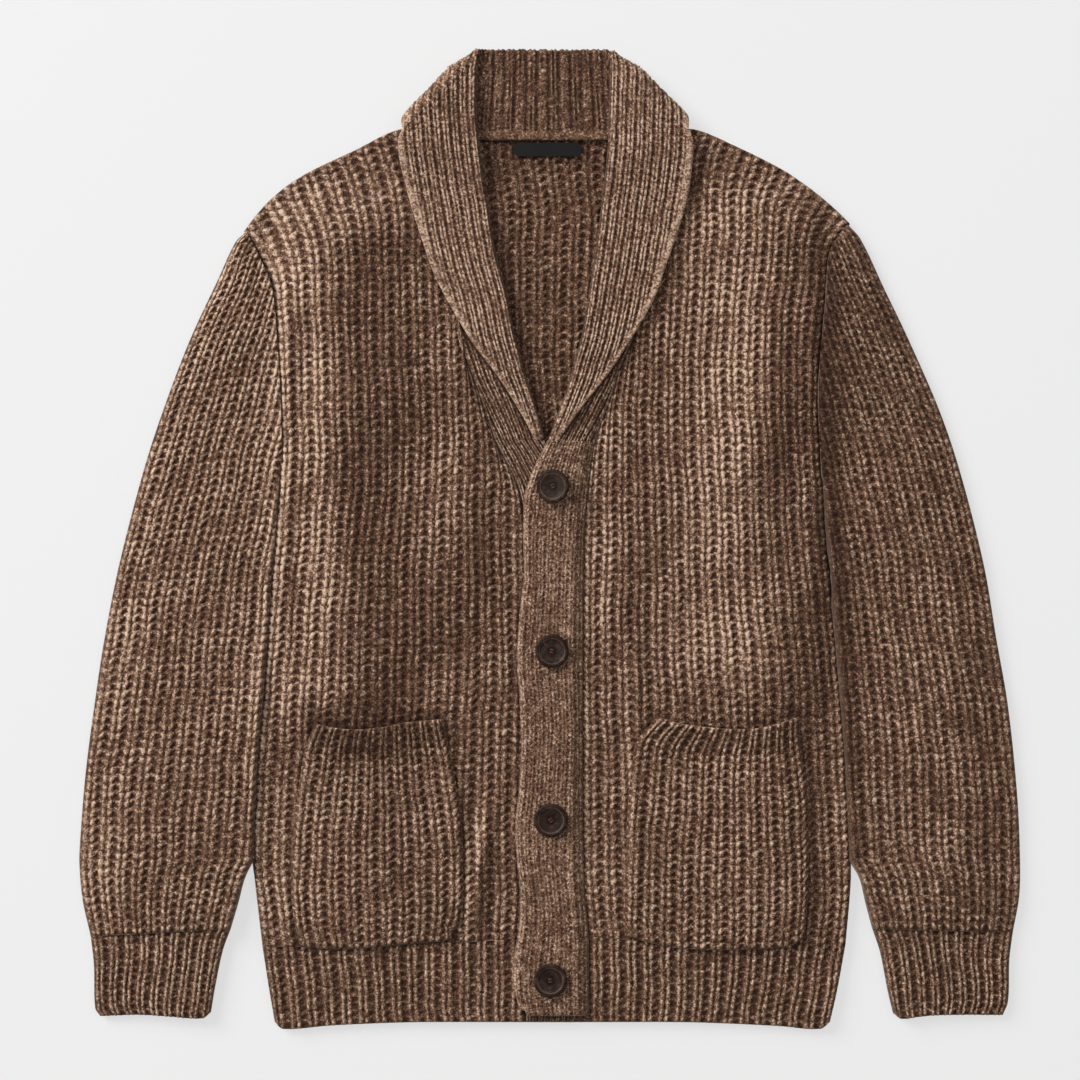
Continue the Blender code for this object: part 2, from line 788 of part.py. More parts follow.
def build_sleeve(side, body_side, arm, outer, end, cuff_outer, cuff_inner, cuff_foot, sign):
    """A sleeve from its armhole, and the cuff below it."""
    contact = moved(body_side[CONTACT_STEP:][::-1], sign * GAP, 0.0)
    inner = contact + end
    steps = len(inner) - 1
    armhole = moved(arm, sign * GAP, 0.0)
    outer_line = spread(smooth([armhole[-1]] + outer[1:]), 2 * steps)
    cuff_line = spread([end[-1], outer[-1]], 2)
    at = patch(edge(armhole), edge(cuff_line), edge(inner), edge(outer_line))
    across = rib_marks(SLEEVE_RIBS, 150.0)
    along = [(0.0, "edge"), (0.006, "low")] + [(k / (2 * steps), "low") for k in range(1, 2 * steps)]
    along += [(0.994, "low"), (1.0, "edge")]

    def puff(u):
        return 3.2 * ease(u / 0.45) * ease((1.0 - u) / 0.25)

    tube("sleeve_" + side, at, across, along, puff)
    start = moved(cuff_line, 0.0, -GAP)
    foot = edge(spread(smooth(cuff_foot), 2 * CUFF_RIBS))
    cuff = patch(
        edge(start),
        foot,
        edge(spread(smooth([start[0]] + cuff_inner[1:]), 6)),
        edge(spread(smooth([start[-1]] + cuff_outer[1:]), 6)),
    )
    rows = [(share, "low") for share in (0.03, 0.3, 0.6, 0.85, 0.97)]
    rows = [(0.0, "edge")] + rows + [(1.0, "edge")]

    def cuff_puff(u):
        return 0.6 * ease(u / 0.3) * ease((1.0 - u) / 0.3)

    tube("cuff_" + side, cuff, rib_marks(CUFF_RIBS, 100.0), rows, cuff_puff)


def build_bands():
    under_left = spread(smooth(UNDER_LEFT), 14)
    under_right = spread(smooth(UNDER_RIGHT), 14)
    under = patch(
        edge([under_left[0], under_right[0]]),
        edge([under_left[-1], under_right[-1]]),
        edge(under_left),
        edge(under_right),
    )
    across = rib_marks(UNDER_RIBS, 50.0)
    sheet("button_band_under", under, across, plain_marks(14, 460.0), flat_base(FRONT_BASE), skip=(3, 3))
    right = spread(smooth(OVER_RIGHT), 28)
    left = spread(smooth(OVER_LEFT), 28)
    foot = edge(spread(smooth(OVER_FOOT), 2 * BAND_RIBS))
    over = patch(foot, edge([left[-1], right[-1]]), edge(left), edge(right))
    drop = OVER_BASE - FRONT_BASE

    def base(x, y):
        seam = at_x([(b, a) for a, b in right], y)
        return OVER_BASE - drop * ease((x - seam + OVER_SLOPE) / (OVER_SLOPE - 1.0))

    sheet("button_band_over", over, rib_marks(BAND_RIBS, 52.0), plain_marks(28, 460.0), base, skip=(1, 2))


def collar_ring(width, stand, ribs, shown, melt):
    """The collar's section: distance from the roll and height over its middle, for each layer.

    ribs is the rib height on the fall, shown that on the stand's outer face, and melt the share
    of its thickness that the fall keeps. The ribs run off at the free edge."""
    thick = HALF_GAP + LAYER
    ring = [("fall", 0.9, 2.9 * melt)]
    last = 2 * COLLAR_RIBS
    for k in range(last + 1):
        low = ribs if k % 2 == 0 else 0.0
        reach = min(3.6 * (k + 1), width - 1.4 - (last - k) * 0.3)
        reach = max(reach, min(3.6, 0.4 * width) + 0.1 * k)
        ring.append(("fall", reach, (thick - low) * melt))
    ring.append(("fall", width, (HALF_GAP + 1.6) * melt))
    ring.append(("fall", width - 1.0, HALF_GAP * melt))
    ring.append(("fall", 0.5 * (width + ROLL_DEPTH), HALF_GAP * melt))
    ring.append(("fall", ROLL_DEPTH + 0.7, HALF_GAP * melt))
    ring.append(("stand", ROLL_DEPTH + 0.2, -HALF_GAP))
    for k in range(1, 8):
        reach = ROLL_DEPTH + (stand - 1.2 - ROLL_DEPTH) * k / 7
        bare = min(max((reach - width) / 4.0, 0.0), 1.0)
        ring.append(("stand", reach, -HALF_GAP - (LAYER_RIB * bare if k % 2 == 0 else 0.0)))
    ring.append(("stand", stand, -HALF_GAP - 2.0))
    ring.append(("stand", stand - 1.2, -thick))
    for share in (0.66, 0.33):
        ring.append(("stand", ROLL_DEPTH + (stand - 1.2 - ROLL_DEPTH) * share, -thick + shown))
    ring.append(("stand", 3.6, -thick + shown))
    ring.append(("stand", 0.9, -2.9))
    ring.append(("roll", 0.35 * shown, 0.0))
    return ring


def turned(last, out):
    """The stations that go over the shoulder, after a lapel's last row."""
    roll, free = last[0:2], last[2:4]
    width = math.dist(roll, free)
    rows = []
    for k in range(1, TURN_STEPS + 1):
        turn = math.pi * k / TURN_STEPS
        share = 1.0 - TURN_CUT * turn / width
        cut = (roll[0] + (free[0] - roll[0]) * share, roll[1] + (free[1] - roll[1]) * share)
        height = TURN_HEIGHT + TURN_RADIUS * math.cos(turn)
        ribs = 0.5 + 0.5 * math.cos(turn)
        rows.append((roll, cut, last[4:6], height, TURN_HEIGHT, turn, out, ribs, 0.0))
    return rows


def collar_stations():
    """Each station: roll, free edge, seam, height, the roll's height, turn, way out and both sides' ribs."""
    stations = []
    for row in LAPEL_LEFT:
        stations.append((row[0:2], row[2:4], row[4:6], row[6], row[7], 0.0, TURN_OUT_LEFT, 1.0, 0.0))
    stations += turned(LAPEL_LEFT[-1], TURN_OUT_LEFT)
    for row in BEHIND_LEFT:
        stations.append((row[0:2], row[2:4], row[4:6], row[6], row[7], math.pi, TURN_OUT_LEFT, 0.0, 0.0))
    steps = 2 * STAND_RIBS
    middle = 0.5 * (NAPE_LEFT + NAPE_RIGHT)
    for k in range(steps + 1):
        x = NAPE_LEFT + (NAPE_RIGHT - NAPE_LEFT) * k / steps
        fan = middle + (x - middle) * NAPE_FAN
        shown = LAYER_RIB if k % 2 == 0 else 0.0
        place = ((x, NAPE_ROLL), (fan, NAPE_FREE), (fan, NAPE_SEAM))
        stations.append(place + (BEHIND_HEIGHT, BEHIND_HEIGHT, math.pi, (0.0, 1.0), 0.0, shown))
    for row in BEHIND_RIGHT[::-1]:
        stations.append((row[0:2], row[2:4], row[4:6], row[6], row[7], math.pi, TURN_OUT_RIGHT, 0.0, 0.0))
    stations += turned(LAPEL_RIGHT[-1], TURN_OUT_RIGHT)[::-1]
    for row in LAPEL_RIGHT[::-1]:
        stations.append((row[0:2], row[2:4], row[4:6], row[6], row[7], 0.0, TURN_OUT_RIGHT, 1.0, 0.0))
    return stations


def build_collar():
    piece = Piece("shawl_collar", WOOL)
    rest = LAPEL_LEFT[0][6]
    rings = []
    for roll, free, seam, height, start, turn, out, ribs, shown in collar_stations():
        width = math.dist(roll, free)
        stand = math.dist(roll, seam)
        ways = {
            "fall": ((free[0] - roll[0]) / width, (free[1] - roll[1]) / width),
            "stand": ((seam[0] - roll[0]) / stand, (seam[1] - roll[1]) / stand),
        }
        ways["roll"] = tuple(0.5 * (p + q) for p, q in zip(ways["fall"], ways["stand"]))
        pitch = min(1.0, width / (7.0 * COLLAR_RIBS))
        length = MELT_LENGTH_LEFT if seam[0] < 0.0 else MELT_LENGTH_RIGHT
        melt = 0.1 + 0.9 * ease((roll[1] - MELT_FOOT) / length)
        sunk = seam[0] > 0.0 and roll[1] < 200.0 and height > rest
        ring = []
        for layer, reach, rise in collar_ring(width, stand, LAYER_RIB * ribs * pitch, shown, melt):
            way = ways[layer]
            clear = ease((reach - ROLL_DEPTH) / TURN_REACH)
            side = (rise + TURN_RADIUS * clear) * math.sin(turn)
            x = roll[0] + way[0] * reach + out[0] * side
            y = roll[1] + way[1] * reach + out[1] * side
            z = start + (height - start) * clear + rise * math.cos(turn)
            if layer == "stand" and sunk:
                z -= (height - rest) * ease((reach - stand + OVER_SLOPE) / (OVER_SLOPE - 1.0))
            ring.append(piece.add(x, y, z))
        rings.append(ring)
    for first, second in zip(rings, rings[1:]):
        piece.band(first, second)
    piece.face(rings[0])
    piece.face(rings[-1][::-1])
    piece.make()


def build_pocket(side, edges, ribs):
    top = edge(spread(smooth(edges["top"]), 2 * ribs))
    foot = edge(spread(smooth(edges["foot"]), 2 * ribs))
    left = edge(spread(smooth(edges["left"]), 8))
    right = edge(spread(smooth(edges["right"]), 8))
    at = patch(foot, top, left, right)

    def base(x, y):
        return FRONT_BASE + CLOTH + POCKET_GAP + fold_lift(x, y)

    across = rib_marks(ribs, 125.0)
    along = plain_marks(8, 175.0)
    sheet("pocket_" + side, at, across, along, base, wall=POCKET_WALL, rib=POCKET_RIB, skip=(3, 3))


def build_button(number, x, y, tilt):
    """A turned button, its rim over a dished middle."""
    piece = Piece("button_%d" % number, HORN, 0.3)
    lean = math.radians(tilt)
    seat = OVER_TOP + GAP + (BUTTON_TILT_LIFT if tilt else 0.0)

    def place(radius, angle, height):
        across = radius * math.cos(angle)
        along = radius * math.sin(angle)
        dx = across * math.cos(lean) - height * math.sin(lean)
        dz = across * math.sin(lean) + height * math.cos(lean)
        return piece.add(x + dx, y + along, seat + dz)

    rings = []
    for share, height in BUTTON_PROFILE:
        radius = BUTTON_RADIUS * share
        rings.append([place(radius, 2 * math.pi * k / BUTTON_SIDES, height) for k in range(BUTTON_SIDES)])
    for first, second in zip(rings, rings[1:]):
        piece.band(first, second)
    piece.face(rings[0][::-1])
    middle = place(0.0, 0.0, BUTTON_MIDDLE)
    for k in range(BUTTON_SIDES):
        piece.face([rings[-1][k - 1], rings[-1][k], middle])
    piece.make()


def build_label():
    """A bare woven tab with rounded ends on the inside of the back."""
    piece = Piece("neck_label", BLACK, 0.7)
    outline = []
    for x, y, start in (
        (LABEL_RIGHT - LABEL_CORNER, LABEL_TOP - LABEL_CORNER, 0),
        (LABEL_LEFT + LABEL_CORNER, LABEL_TOP - LABEL_CORNER, 1),
        (LABEL_LEFT + LABEL_CORNER, LABEL_FOOT + LABEL_CORNER, 2),
        (LABEL_RIGHT - LABEL_CORNER, LABEL_FOOT + LABEL_CORNER, 3),
    ):
        for k in range(5):
            angle = math.pi / 2 * (start + k / 4)
            outline.append((x + LABEL_CORNER * math.cos(angle), y + LABEL_CORNER * math.sin(angle)))
    base = BACK_THICK + GAP
    lower = [piece.add(x, y, base) for x, y in outline]
    upper = [piece.add(x, y, base + LABEL_THICK) for x, y in outline]
    piece.band(lower, upper)
    piece.face(lower[::-1])
    piece.face(upper)
    piece.make()


def main():
    for thing in list(bpy.data.objects):
        bpy.data.objects.remove(thing, do_unlink=True)
    build_back()
    hem_left = (HEM_LINE_LEFT, HEM_SIDE_LEFT, HEM_FOOT_LEFT)
    build_front("left", BODY_L, SHOULDER_LEFT, NECK_EDGE_LEFT, INNER_LEFT, *hem_left)
    hem_right = (HEM_LINE_RIGHT, HEM_SIDE_RIGHT, HEM_FOOT_RIGHT)
    build_front("right", BODY_R, SHOULDER_RIGHT, NECK_EDGE_RIGHT, INNER_RIGHT, *hem_right)
    cuff_left = (CUFF_OUTER_LEFT, CUFF_INNER_LEFT, CUFF_FOOT_LEFT)
    build_sleeve("left", SIDE_L, ARM_L, SLEEVE_OUTER_LEFT, SLEEVE_END_LEFT, *cuff_left, -1.0)
    cuff_right = (CUFF_OUTER_RIGHT, CUFF_INNER_RIGHT, CUFF_FOOT_RIGHT)
    build_sleeve("right", SIDE_R, ARM_R, SLEEVE_OUTER_RIGHT, SLEEVE_END_RIGHT, *cuff_right, 1.0)
    build_bands()
    build_collar()
    build_pocket("left", POCKET_LEFT, POCKET_RIBS_LEFT)
    build_pocket("right", POCKET_RIGHT, POCKET_RIBS_RIGHT)
    for number, row in enumerate(BUTTONS, start=1):
        build_button(number, *row)
    build_label()


main()
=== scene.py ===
"""Shawl collar cardigan: the knitted cloth, its buttons and the light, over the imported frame.

Lengths in the tables are in millimetres; left means the -X side. Every knitted piece is a
fine grid between the same edges as its solid, raised stitch by stitch.
"""

import logging
import math
from dataclasses import dataclass, field
from enum import Enum
from typing import Any, Callable, Sequence

import bpy
import numpy as np
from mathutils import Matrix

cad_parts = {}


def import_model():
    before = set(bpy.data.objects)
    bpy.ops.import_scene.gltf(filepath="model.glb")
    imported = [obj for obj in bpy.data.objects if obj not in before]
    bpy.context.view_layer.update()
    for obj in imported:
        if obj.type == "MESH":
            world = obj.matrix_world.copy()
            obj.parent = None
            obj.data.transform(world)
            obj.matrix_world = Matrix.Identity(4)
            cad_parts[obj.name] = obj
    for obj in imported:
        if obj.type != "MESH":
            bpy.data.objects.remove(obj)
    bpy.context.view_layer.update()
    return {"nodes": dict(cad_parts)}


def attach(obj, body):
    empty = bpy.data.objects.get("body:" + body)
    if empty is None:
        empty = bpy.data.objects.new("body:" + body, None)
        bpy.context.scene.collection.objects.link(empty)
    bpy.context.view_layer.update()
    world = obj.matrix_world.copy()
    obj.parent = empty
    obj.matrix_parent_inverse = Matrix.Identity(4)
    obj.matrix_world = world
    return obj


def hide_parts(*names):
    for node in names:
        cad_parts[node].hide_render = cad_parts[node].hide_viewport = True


LOG = logging.getLogger("cardigan")
MM = 0.001

Table = Sequence[tuple[float, ...]]
Array = np.ndarray
Height = Callable[[Array, Array], Array]
PaintedShades = tuple[tuple[Array, float, float], ...]  # painted shadows beside lines: the lines, how far beside them, and how much darker; below 0, painted highlights
Socket = bpy.types.NodeSocket
Colour = tuple[float, float, float]


class Side(Enum):
    """A half of the garment, as it is seen from above."""

    LEFT = "left"
    RIGHT = "right"

    @property
    def sign(self) -> float:
        """Its way along X."""
        return -1.0 if self is Side.LEFT else 1.0

    def ordered(self, outer: Any, inner: Any) -> tuple[Any, Any]:
        """An outer and an inner thing, from left to right."""
        return (outer, inner) if self is Side.LEFT else (inner, outer)


LEFT, RIGHT = Side.LEFT, Side.RIGHT

# Knitted cloth.
WALL = 3.4  # plain wall under the ribs
RIB = 1.4  # height of a rib above the wall
CLOTH = WALL + RIB
GAP = 0.4  # between pieces at a seam and between layers
BACK_THICK = 4.0
FRONT_BASE = BACK_THICK + GAP

# Ribs across each piece.
FRONT_RIBS = 15
SLEEVE_RIBS = 10
CUFF_RIBS = 9
BAND_RIBS = 8
POCKET_RIBS = {LEFT: 10, RIGHT: 11}

# Segments along shared seams.
SIDE_STEPS = 11
ARMHOLE_STEPS = 10
CONTACT_STEP = 2  # up to this point of the side, the sleeve hangs free of the body

# Outlines, each row x, y.
SIDE = {  # hem up to the underarm
    LEFT: [
        (-229.7, -326.4), (-235.7, -274.4), (-238.1, -251.2), (-234.5, -177.6), (-229.3, -121.6),
        (-222.1, -25.6), (-214.5, 59.2),
    ],
    RIGHT: [
        (236.7, -324.8), (240.9, -273.6), (240.3, -244.0), (236.6, -167.2), (230.7, -97.6), (223.5, -17.6),
        (218.7, 46.4),
    ],
}
ARMHOLE = {  # underarm up to the shoulder
    LEFT: [
        (-214.5, 59.2), (-215.7, 110.4), (-219.1, 160.0), (-222.8, 198.4), (-231.7, 220.8),
        (-244.5, 245.2),
    ],
    RIGHT: [(218.7, 46.4), (215.5, 94.4), (216.3, 140.8), (221.9, 190.4), (225.9, 230.4), (240.3, 251.2)],
}
SHOULDER = {  # armhole to the neck
    LEFT: [
        (-244.5, 245.2), (-233.8, 259.2), (-222.8, 271.0), (-208.0, 283.0), (-189.7, 294.0),
        (-156.6, 309.6), (-119.9, 326.8), (-97.0, 325.0),
    ],
    RIGHT: [
        (240.3, 251.2), (229.7, 261.8), (216.8, 272.8), (202.1, 284.0), (185.6, 294.9), (148.9, 313.3),
        (115.5, 326.8), (94.0, 325.0),
    ],
}
NECK_EDGE = {  # shoulder down to the foot of the V
    LEFT: [
        (-97.0, 325.0), (-90.0, 264.0), (-82.2, 208.8), (-79.3, 188.0), (-73.8, 156.8), (-62.9, 128.0),
        (-53.2, 101.6), (-45.0, 77.0), (-36.2, 60.4), (-27.6, 43.0),
    ],
    RIGHT: [
        (94.0, 325.0), (84.8, 266.4), (76.6, 216.0), (73.0, 192.0), (68.2, 162.4), (57.4, 136.0),
        (51.8, 116.8), (44.8, 98.4), (37.1, 74.8), (32.7, 48.0),
    ],
}
BACK_NECK = [  # left shoulder to right
    (-97.0, 325.0), (-73.3, 322.8), (-55.7, 321.6), (-3.7, 321.2), (45.1, 321.2), (69.1, 322.4),
    (94.0, 325.0),
]
INNER = {
    LEFT: [(-19.4, -320.4), (-19.4, -209.6), (-19.4, -89.6), (-19.8, -1.6), (-22.0, 22.0), (-27.6, 43.0)],
    RIGHT: [(31.5, -318.4), (28.3, -273.6), (27.1, -209.6), (27.5, -89.6), (28.7, 6.4), (32.7, 48.0)],
}
HEM_LINE = {
    LEFT: [(-229.7, -326.4), (-175.7, -326.4), (-119.7, -324.8), (-19.4, -320.4)],
    RIGHT: [(31.5, -318.4), (80.3, -322.4), (152.3, -325.6), (236.7, -324.8)],
}
HEM_SIDE = {
    LEFT: [(-229.7, -326.4), (-224.9, -357.6), (-219.9, -387.0)],
    RIGHT: [(236.7, -324.8), (230.3, -360.0), (224.3, -387.0)],
}
HEM_FOOT = {
    LEFT: [
        (-219.9, -387.0), (-213.3, -392.6), (-176.5, -390.0), (-139.7, -388.2), (-102.9, -387.2),
        (-19.4, -387.2),
    ],
    RIGHT: [
        (32.3, -387.2), (104.3, -387.2), (144.3, -388.4), (184.3, -390.4), (216.3, -392.6),
        (224.3, -387.0),
    ],
}
SLEEVE_OUTER = {  # shoulder down to the cuff
    LEFT: [
        (-244.5, 245.2), (-251.2, 237.0), (-265.0, 207.7), (-288.8, 156.2), (-310.9, 97.6), (-325.6, 51.5),
        (-344.5, -21.6), (-356.4, -81.6), (-363.9, -130.9), (-371.4, -188.8), (-375.7, -242.4),
        (-376.3, -260.8), (-373.7, -289.6), (-367.3, -318.4),
    ],
    RIGHT: [
        (240.3, 251.2), (249.0, 238.9), (268.3, 198.4), (286.7, 160.0), (312.3, 101.1), (328.9, 51.5),
        (347.5, -21.6), (357.7, -81.6), (366.7, -133.6), (373.9, -201.6), (376.3, -249.6), (375.9, -285.6),
        (370.7, -315.2),
    ],
}
SLEEVE_END = {  # below the contact
    LEFT: [(-243.6, -272.0), (-249.0, -292.0), (-254.9, -312.0)],
    RIGHT: [(247.6, -272.0), (252.6, -292.0), (257.9, -312.0)],
}
CUFF_OUTER = {
    LEFT: [(-367.3, -318.4), (-364.7, -341.6), (-363.7, -376.0), (-359.7, -382.4)],
    RIGHT: [(370.7, -315.2), (367.9, -337.6), (366.9, -370.4), (362.7, -381.6)],
}
CUFF_INNER = {
    LEFT: [(-254.9, -312.0), (-261.3, -329.6), (-267.3, -357.6), (-270.9, -379.2)],
    RIGHT: [(257.9, -312.0), (264.3, -331.2), (270.3, -361.6), (274.7, -380.0)],
}
CUFF_FOOT = {
    LEFT: [(-270.9, -379.2), (-277.3, -383.6), (-303.7, -382.4), (-327.7, -381.2), (-359.7, -382.4)],
    RIGHT: [(274.7, -380.0), (281.1, -384.0), (300.3, -381.8), (328.3, -381.2), (362.7, -381.6)],
}

# Front bands, each edge from the foot up.
UNDER = {
    LEFT: [
        (-19.0, -387.2), (-19.0, -320.4), (-19.0, -209.6), (-19.0, -89.6), (-19.2, -1.6), (-21.0, 22.0),
        (-26.2, 43.4), (-34.8, 60.8), (-42.9, 76.4),
    ],
    RIGHT: [(17.9, -387.2), (17.9, -177.6), (17.9, 6.4), (13.9, 40.0), (5.9, 62.4), (-3.4, 77.6)],
}
OVER = {
    LEFT: [
        (-23.5, -377.0), (-28.7, -357.6), (-28.7, -336.0), (-24.7, -311.2), (-23.7, -281.6),
        (-26.5, -252.8), (-27.5, -224.0), (-24.5, -200.8), (-22.8, -165.6), (-24.1, -127.2),
        (-26.4, -93.6), (-23.2, -52.0), (-20.7, -29.6), (-21.3, 6.4), (-20.2, 34.4), (-16.8, 45.3),
        (-13.5, 54.4), (-2.4, 76.6),
    ],
    RIGHT: [
        (31.9, -381.2), (31.1, -318.4), (27.9, -273.6), (26.7, -209.6), (27.1, -89.6), (28.3, 6.4),
        (32.2, 48.0), (36.1, 73.4),
    ],
}
OVER_FOOT = [(-23.5, -377.0), (-19.5, -380.4), (-7.7, -381.2), (31.9, -381.2)]
OVER_BASE = 9.6  # the top band's underside, over the lower band
OVER_SLOPE = 9.0  # width over which it comes down to the right front

# Patch pockets.
POCKET = {
    LEFT: {
        "top": [
            (-186.1, -147.2), (-171.1, -150.4), (-152.8, -151.8), (-134.4, -150.4), (-114.1, -146.6),
            (-86.1, -144.0),
        ],
        "left": [
            (-199.7, -324.0), (-204.5, -299.2), (-206.1, -269.6), (-202.4, -216.5), (-194.9, -168.8),
            (-186.1, -147.2),
        ],
        "right": [
            (-73.3, -318.4), (-69.7, -288.0), (-69.3, -260.0), (-70.1, -231.2), (-75.7, -190.4),
            (-86.1, -144.0),
        ],
        "foot": [
            (-199.7, -324.0), (-191.7, -326.8), (-158.1, -327.6), (-119.7, -324.4), (-79.7, -321.2),
            (-73.3, -318.4),
        ],
    },
    RIGHT: {
        "top": [
            (85.9, -142.4), (104.3, -147.6), (124.3, -150.4), (147.5, -152.0), (169.9, -150.4),
            (197.9, -142.0),
        ],
        "left": [
            (60.3, -316.8), (60.3, -273.6), (62.3, -217.6), (65.9, -179.2), (69.9, -161.6), (85.9, -142.4),
        ],
        "right": [
            (203.5, -316.8), (205.9, -281.6), (206.3, -229.6), (204.7, -197.6), (200.3, -165.6),
            (197.9, -142.0),
        ],
        "foot": [
            (60.3, -316.8), (77.9, -322.4), (101.9, -327.2), (152.3, -328.4), (192.3, -324.8),
            (203.5, -316.8),
        ],
    },
}
POCKET_GAP = 0.5

# Soft lengthwise folds in the fronts: x and y at the foot, x and y at the top, half width, height.
FOLDS = [
    (-232.0, -215.0, -208.0, 215.0, 12.0, 3.2),
    (-168.0, -100.0, -184.0, 235.0, 26.0, 5.0),
    (-82.0, -110.0, -86.0, 90.0, 26.0, 3.5),
    (146.0, -50.0, 172.0, 225.0, 27.0, 5.0),
    (54.0, -110.0, 52.0, 30.0, 14.0, 2.0),
]
FOLD_FADE = 60.0  # length over which a fold dies away at its ends

# Collar: roll x, y; free edge x, y; seam x, y; height between its two layers, and at its roll.
LAPEL = {
    LEFT: [
        (-3.9, 80.0, -11.4, 77.4, -43.3, 77.6, 9.4, 9.4),
        (-10.1, 101.6, -24.1, 100.8, -51.6, 101.6, 9.4, 9.4),
        (-18.9, 129.6, -41.3, 128.0, -61.0, 128.0, 9.4, 9.4),
        (-28.1, 164.0, -63.3, 157.6, -71.0, 156.8, 9.4, 9.4),
        (-32.9, 190.4, -81.3, 188.0, -76.4, 188.0, 9.4, 9.4),
        (-38.5, 210.4, -92.1, 208.8, -79.4, 208.8, 9.4, 9.4),
        (-44.1, 234.4, -100.5, 232.0, -83.0, 232.8, 9.4, 9.4),
        (-48.9, 264.8, -110.5, 263.2, -87.4, 264.0, 9.6, 9.6),
        (-53.3, 292.8, -117.3, 288.8, -91.0, 292.8, 11.8, 11.8),
        (-56.1, 316.8, -120.6, 305.0, -92.7, 312.8, 14.8, 13.6),
        (-57.9, 340.8, -121.2, 312.5, -94.9, 322.4, 15.0, 12.9),
        (-58.2, 362.4, -120.8, 318.0, -98.1, 331.2, 15.0, 11.6),
        (-57.5, 378.0, -120.0, 321.0, -99.6, 337.0, 15.0, 10.3),
        (-55.1, 390.2, -119.2, 323.0, -101.0, 341.6, 15.0, 9.7),
    ],
    RIGHT: [
        (-1.7, 78.0, 5.7, 75.8, 35.9, 74.8, 14.2, 14.2),
        (6.3, 99.2, 20.3, 96.4, 43.7, 98.4, 13.6, 13.6),
        (13.1, 118.4, 35.5, 115.8, 50.7, 116.8, 12.2, 12.2),
        (18.3, 136.0, 50.3, 135.2, 56.3, 136.0, 10.8, 10.8),
        (25.5, 162.4, 67.9, 162.4, 67.2, 162.4, 9.8, 9.8),
        (30.7, 192.8, 84.7, 192.0, 72.0, 192.0, 9.4, 9.4),
        (34.3, 216.0, 92.7, 215.2, 75.6, 216.0, 9.4, 9.4),
        (37.9, 240.0, 101.1, 239.2, 79.4, 240.0, 9.4, 9.4),
        (41.1, 266.4, 108.9, 264.4, 83.8, 266.4, 9.6, 9.6),
        (44.3, 292.8, 113.2, 288.8, 87.9, 292.8, 11.8, 11.8),
        (46.3, 316.8, 114.7, 305.0, 89.5, 312.8, 14.8, 13.6),
        (46.9, 340.8, 114.9, 312.5, 90.7, 322.4, 15.0, 12.9),
        (47.9, 362.4, 114.3, 318.0, 93.1, 330.4, 15.0, 11.6),
        (48.1, 376.4, 113.5, 321.0, 94.0, 335.5, 15.0, 10.3),
        (47.5, 388.6, 112.3, 323.4, 95.2, 340.6, 15.0, 9.7),
    ],
}
BEHIND = {  # the same, past the turn over the shoulder
    LEFT: [
        (-54.6, 391.2, -94.5, 336.0, -91.0, 333.6, 4.4, 8.0),
        (-53.2, 391.8, -80.5, 328.2, -76.5, 321.6, 4.4, 5.8),
    ],
    RIGHT: [
        (47.2, 390.0, 88.5, 335.4, 85.0, 333.0, 4.4, 8.0),
        (46.2, 391.4, 74.9, 328.0, 70.9, 321.2, 4.4, 5.8),
    ],
}
TURN_OUT = {LEFT: (-0.70, 0.71), RIGHT: (0.67, 0.74)}  # the way the collar goes over the shoulder
TURN_RADIUS = 5.3
TURN_HEIGHT = 9.7
TURN_CUT = 7.8  # the fall is this much shorter for each radian of the turn
BEHIND_HEIGHT = TURN_HEIGHT - TURN_RADIUS
NAPE_LEFT = -51.5  # the stand's outermost straight ribs
NAPE_RIGHT = 45.0
NAPE_MIDDLE = 0.5 * (NAPE_LEFT + NAPE_RIGHT)
NAPE_PITCH = 8.4  # width of a rib of the stand, at the roll
NAPE_ROLL = 392.0
NAPE_FREE = 324.6
NAPE_SEAM = 317.4
NAPE_FAN = 1.12  # the stand is this much longer at its seam than at the roll
LAYER = 4.2  # thickness of one layer of the collar with its ribs
HALF_GAP = 0.2
ROLL_DEPTH = 4.4
TURN_REACH = 26.0  # the turn is full this far from the roll
MELT_FOOT = 78.0  # below here the two layers are one
MELT_LENGTH = {LEFT: 9.0, RIGHT: 26.0}

# Buttons from the top: x, y, tilt in degrees.
BUTTONS = [(3.1, 41.3, 14.0), (1.9, -90.0, 0.0), (0.9, -224.6, 0.0), (0.5, -352.0, 0.0)]
BUTTON_RADIUS = 13.3
BUTTON_TILT_LIFT = 2.3
BUTTON_TURNING = [  # share of the radius, height
    (0.78, 0.0),
    (0.93, 0.5),
    (1.00, 2.0),
    (0.985, 3.1),
    (0.90, 3.9),
    (0.80, 3.75),
    (0.70, 3.0),
    (0.55, 2.45),
    (0.30, 2.15),
    (0.02, 2.1),
]
BUTTON_MIDDLE = 2.1
OVER_TOP = OVER_BASE + CLOTH

LABEL_LEFT, LABEL_RIGHT = -29.3, 25.9
LABEL_TOP, LABEL_FOOT = 316.0, 305.2
LABEL_THICK = 0.8
LABEL_CORNER = 3.0


# Lines and surfaces.


def smooth(points: Table, parts: int = 12) -> Array:
    """A soft line through a table's points.

    Args:
        points: The table's rows.
        parts: Close points for each of its gaps.

    Returns:
        The close points, one a row.
    """
    table = np.asarray(points, float)
    last = len(table) - 1
    line: list[Array] = []
    for i in range(last):
        before, start = table[max(i - 1, 0)], table[i]
        end, after = table[i + 1], table[min(i + 2, last)]
        step = np.linalg.norm(end - start)
        leave = (end - before) * step / max(float(np.linalg.norm(end - before)), 1e-9)
        arrive = (after - start) * step / max(float(np.linalg.norm(after - start)), 1e-9)
        t = (np.arange(parts) / parts)[:, None]
        line.append(
            (2 * t**3 - 3 * t**2 + 1) * start
            + (t**3 - 2 * t**2 + t) * leave
            + (3 * t**2 - 2 * t**3) * end
            + (t**3 - t**2) * arrive
        )
    line.append(table[-1:])
    return np.concatenate(line)


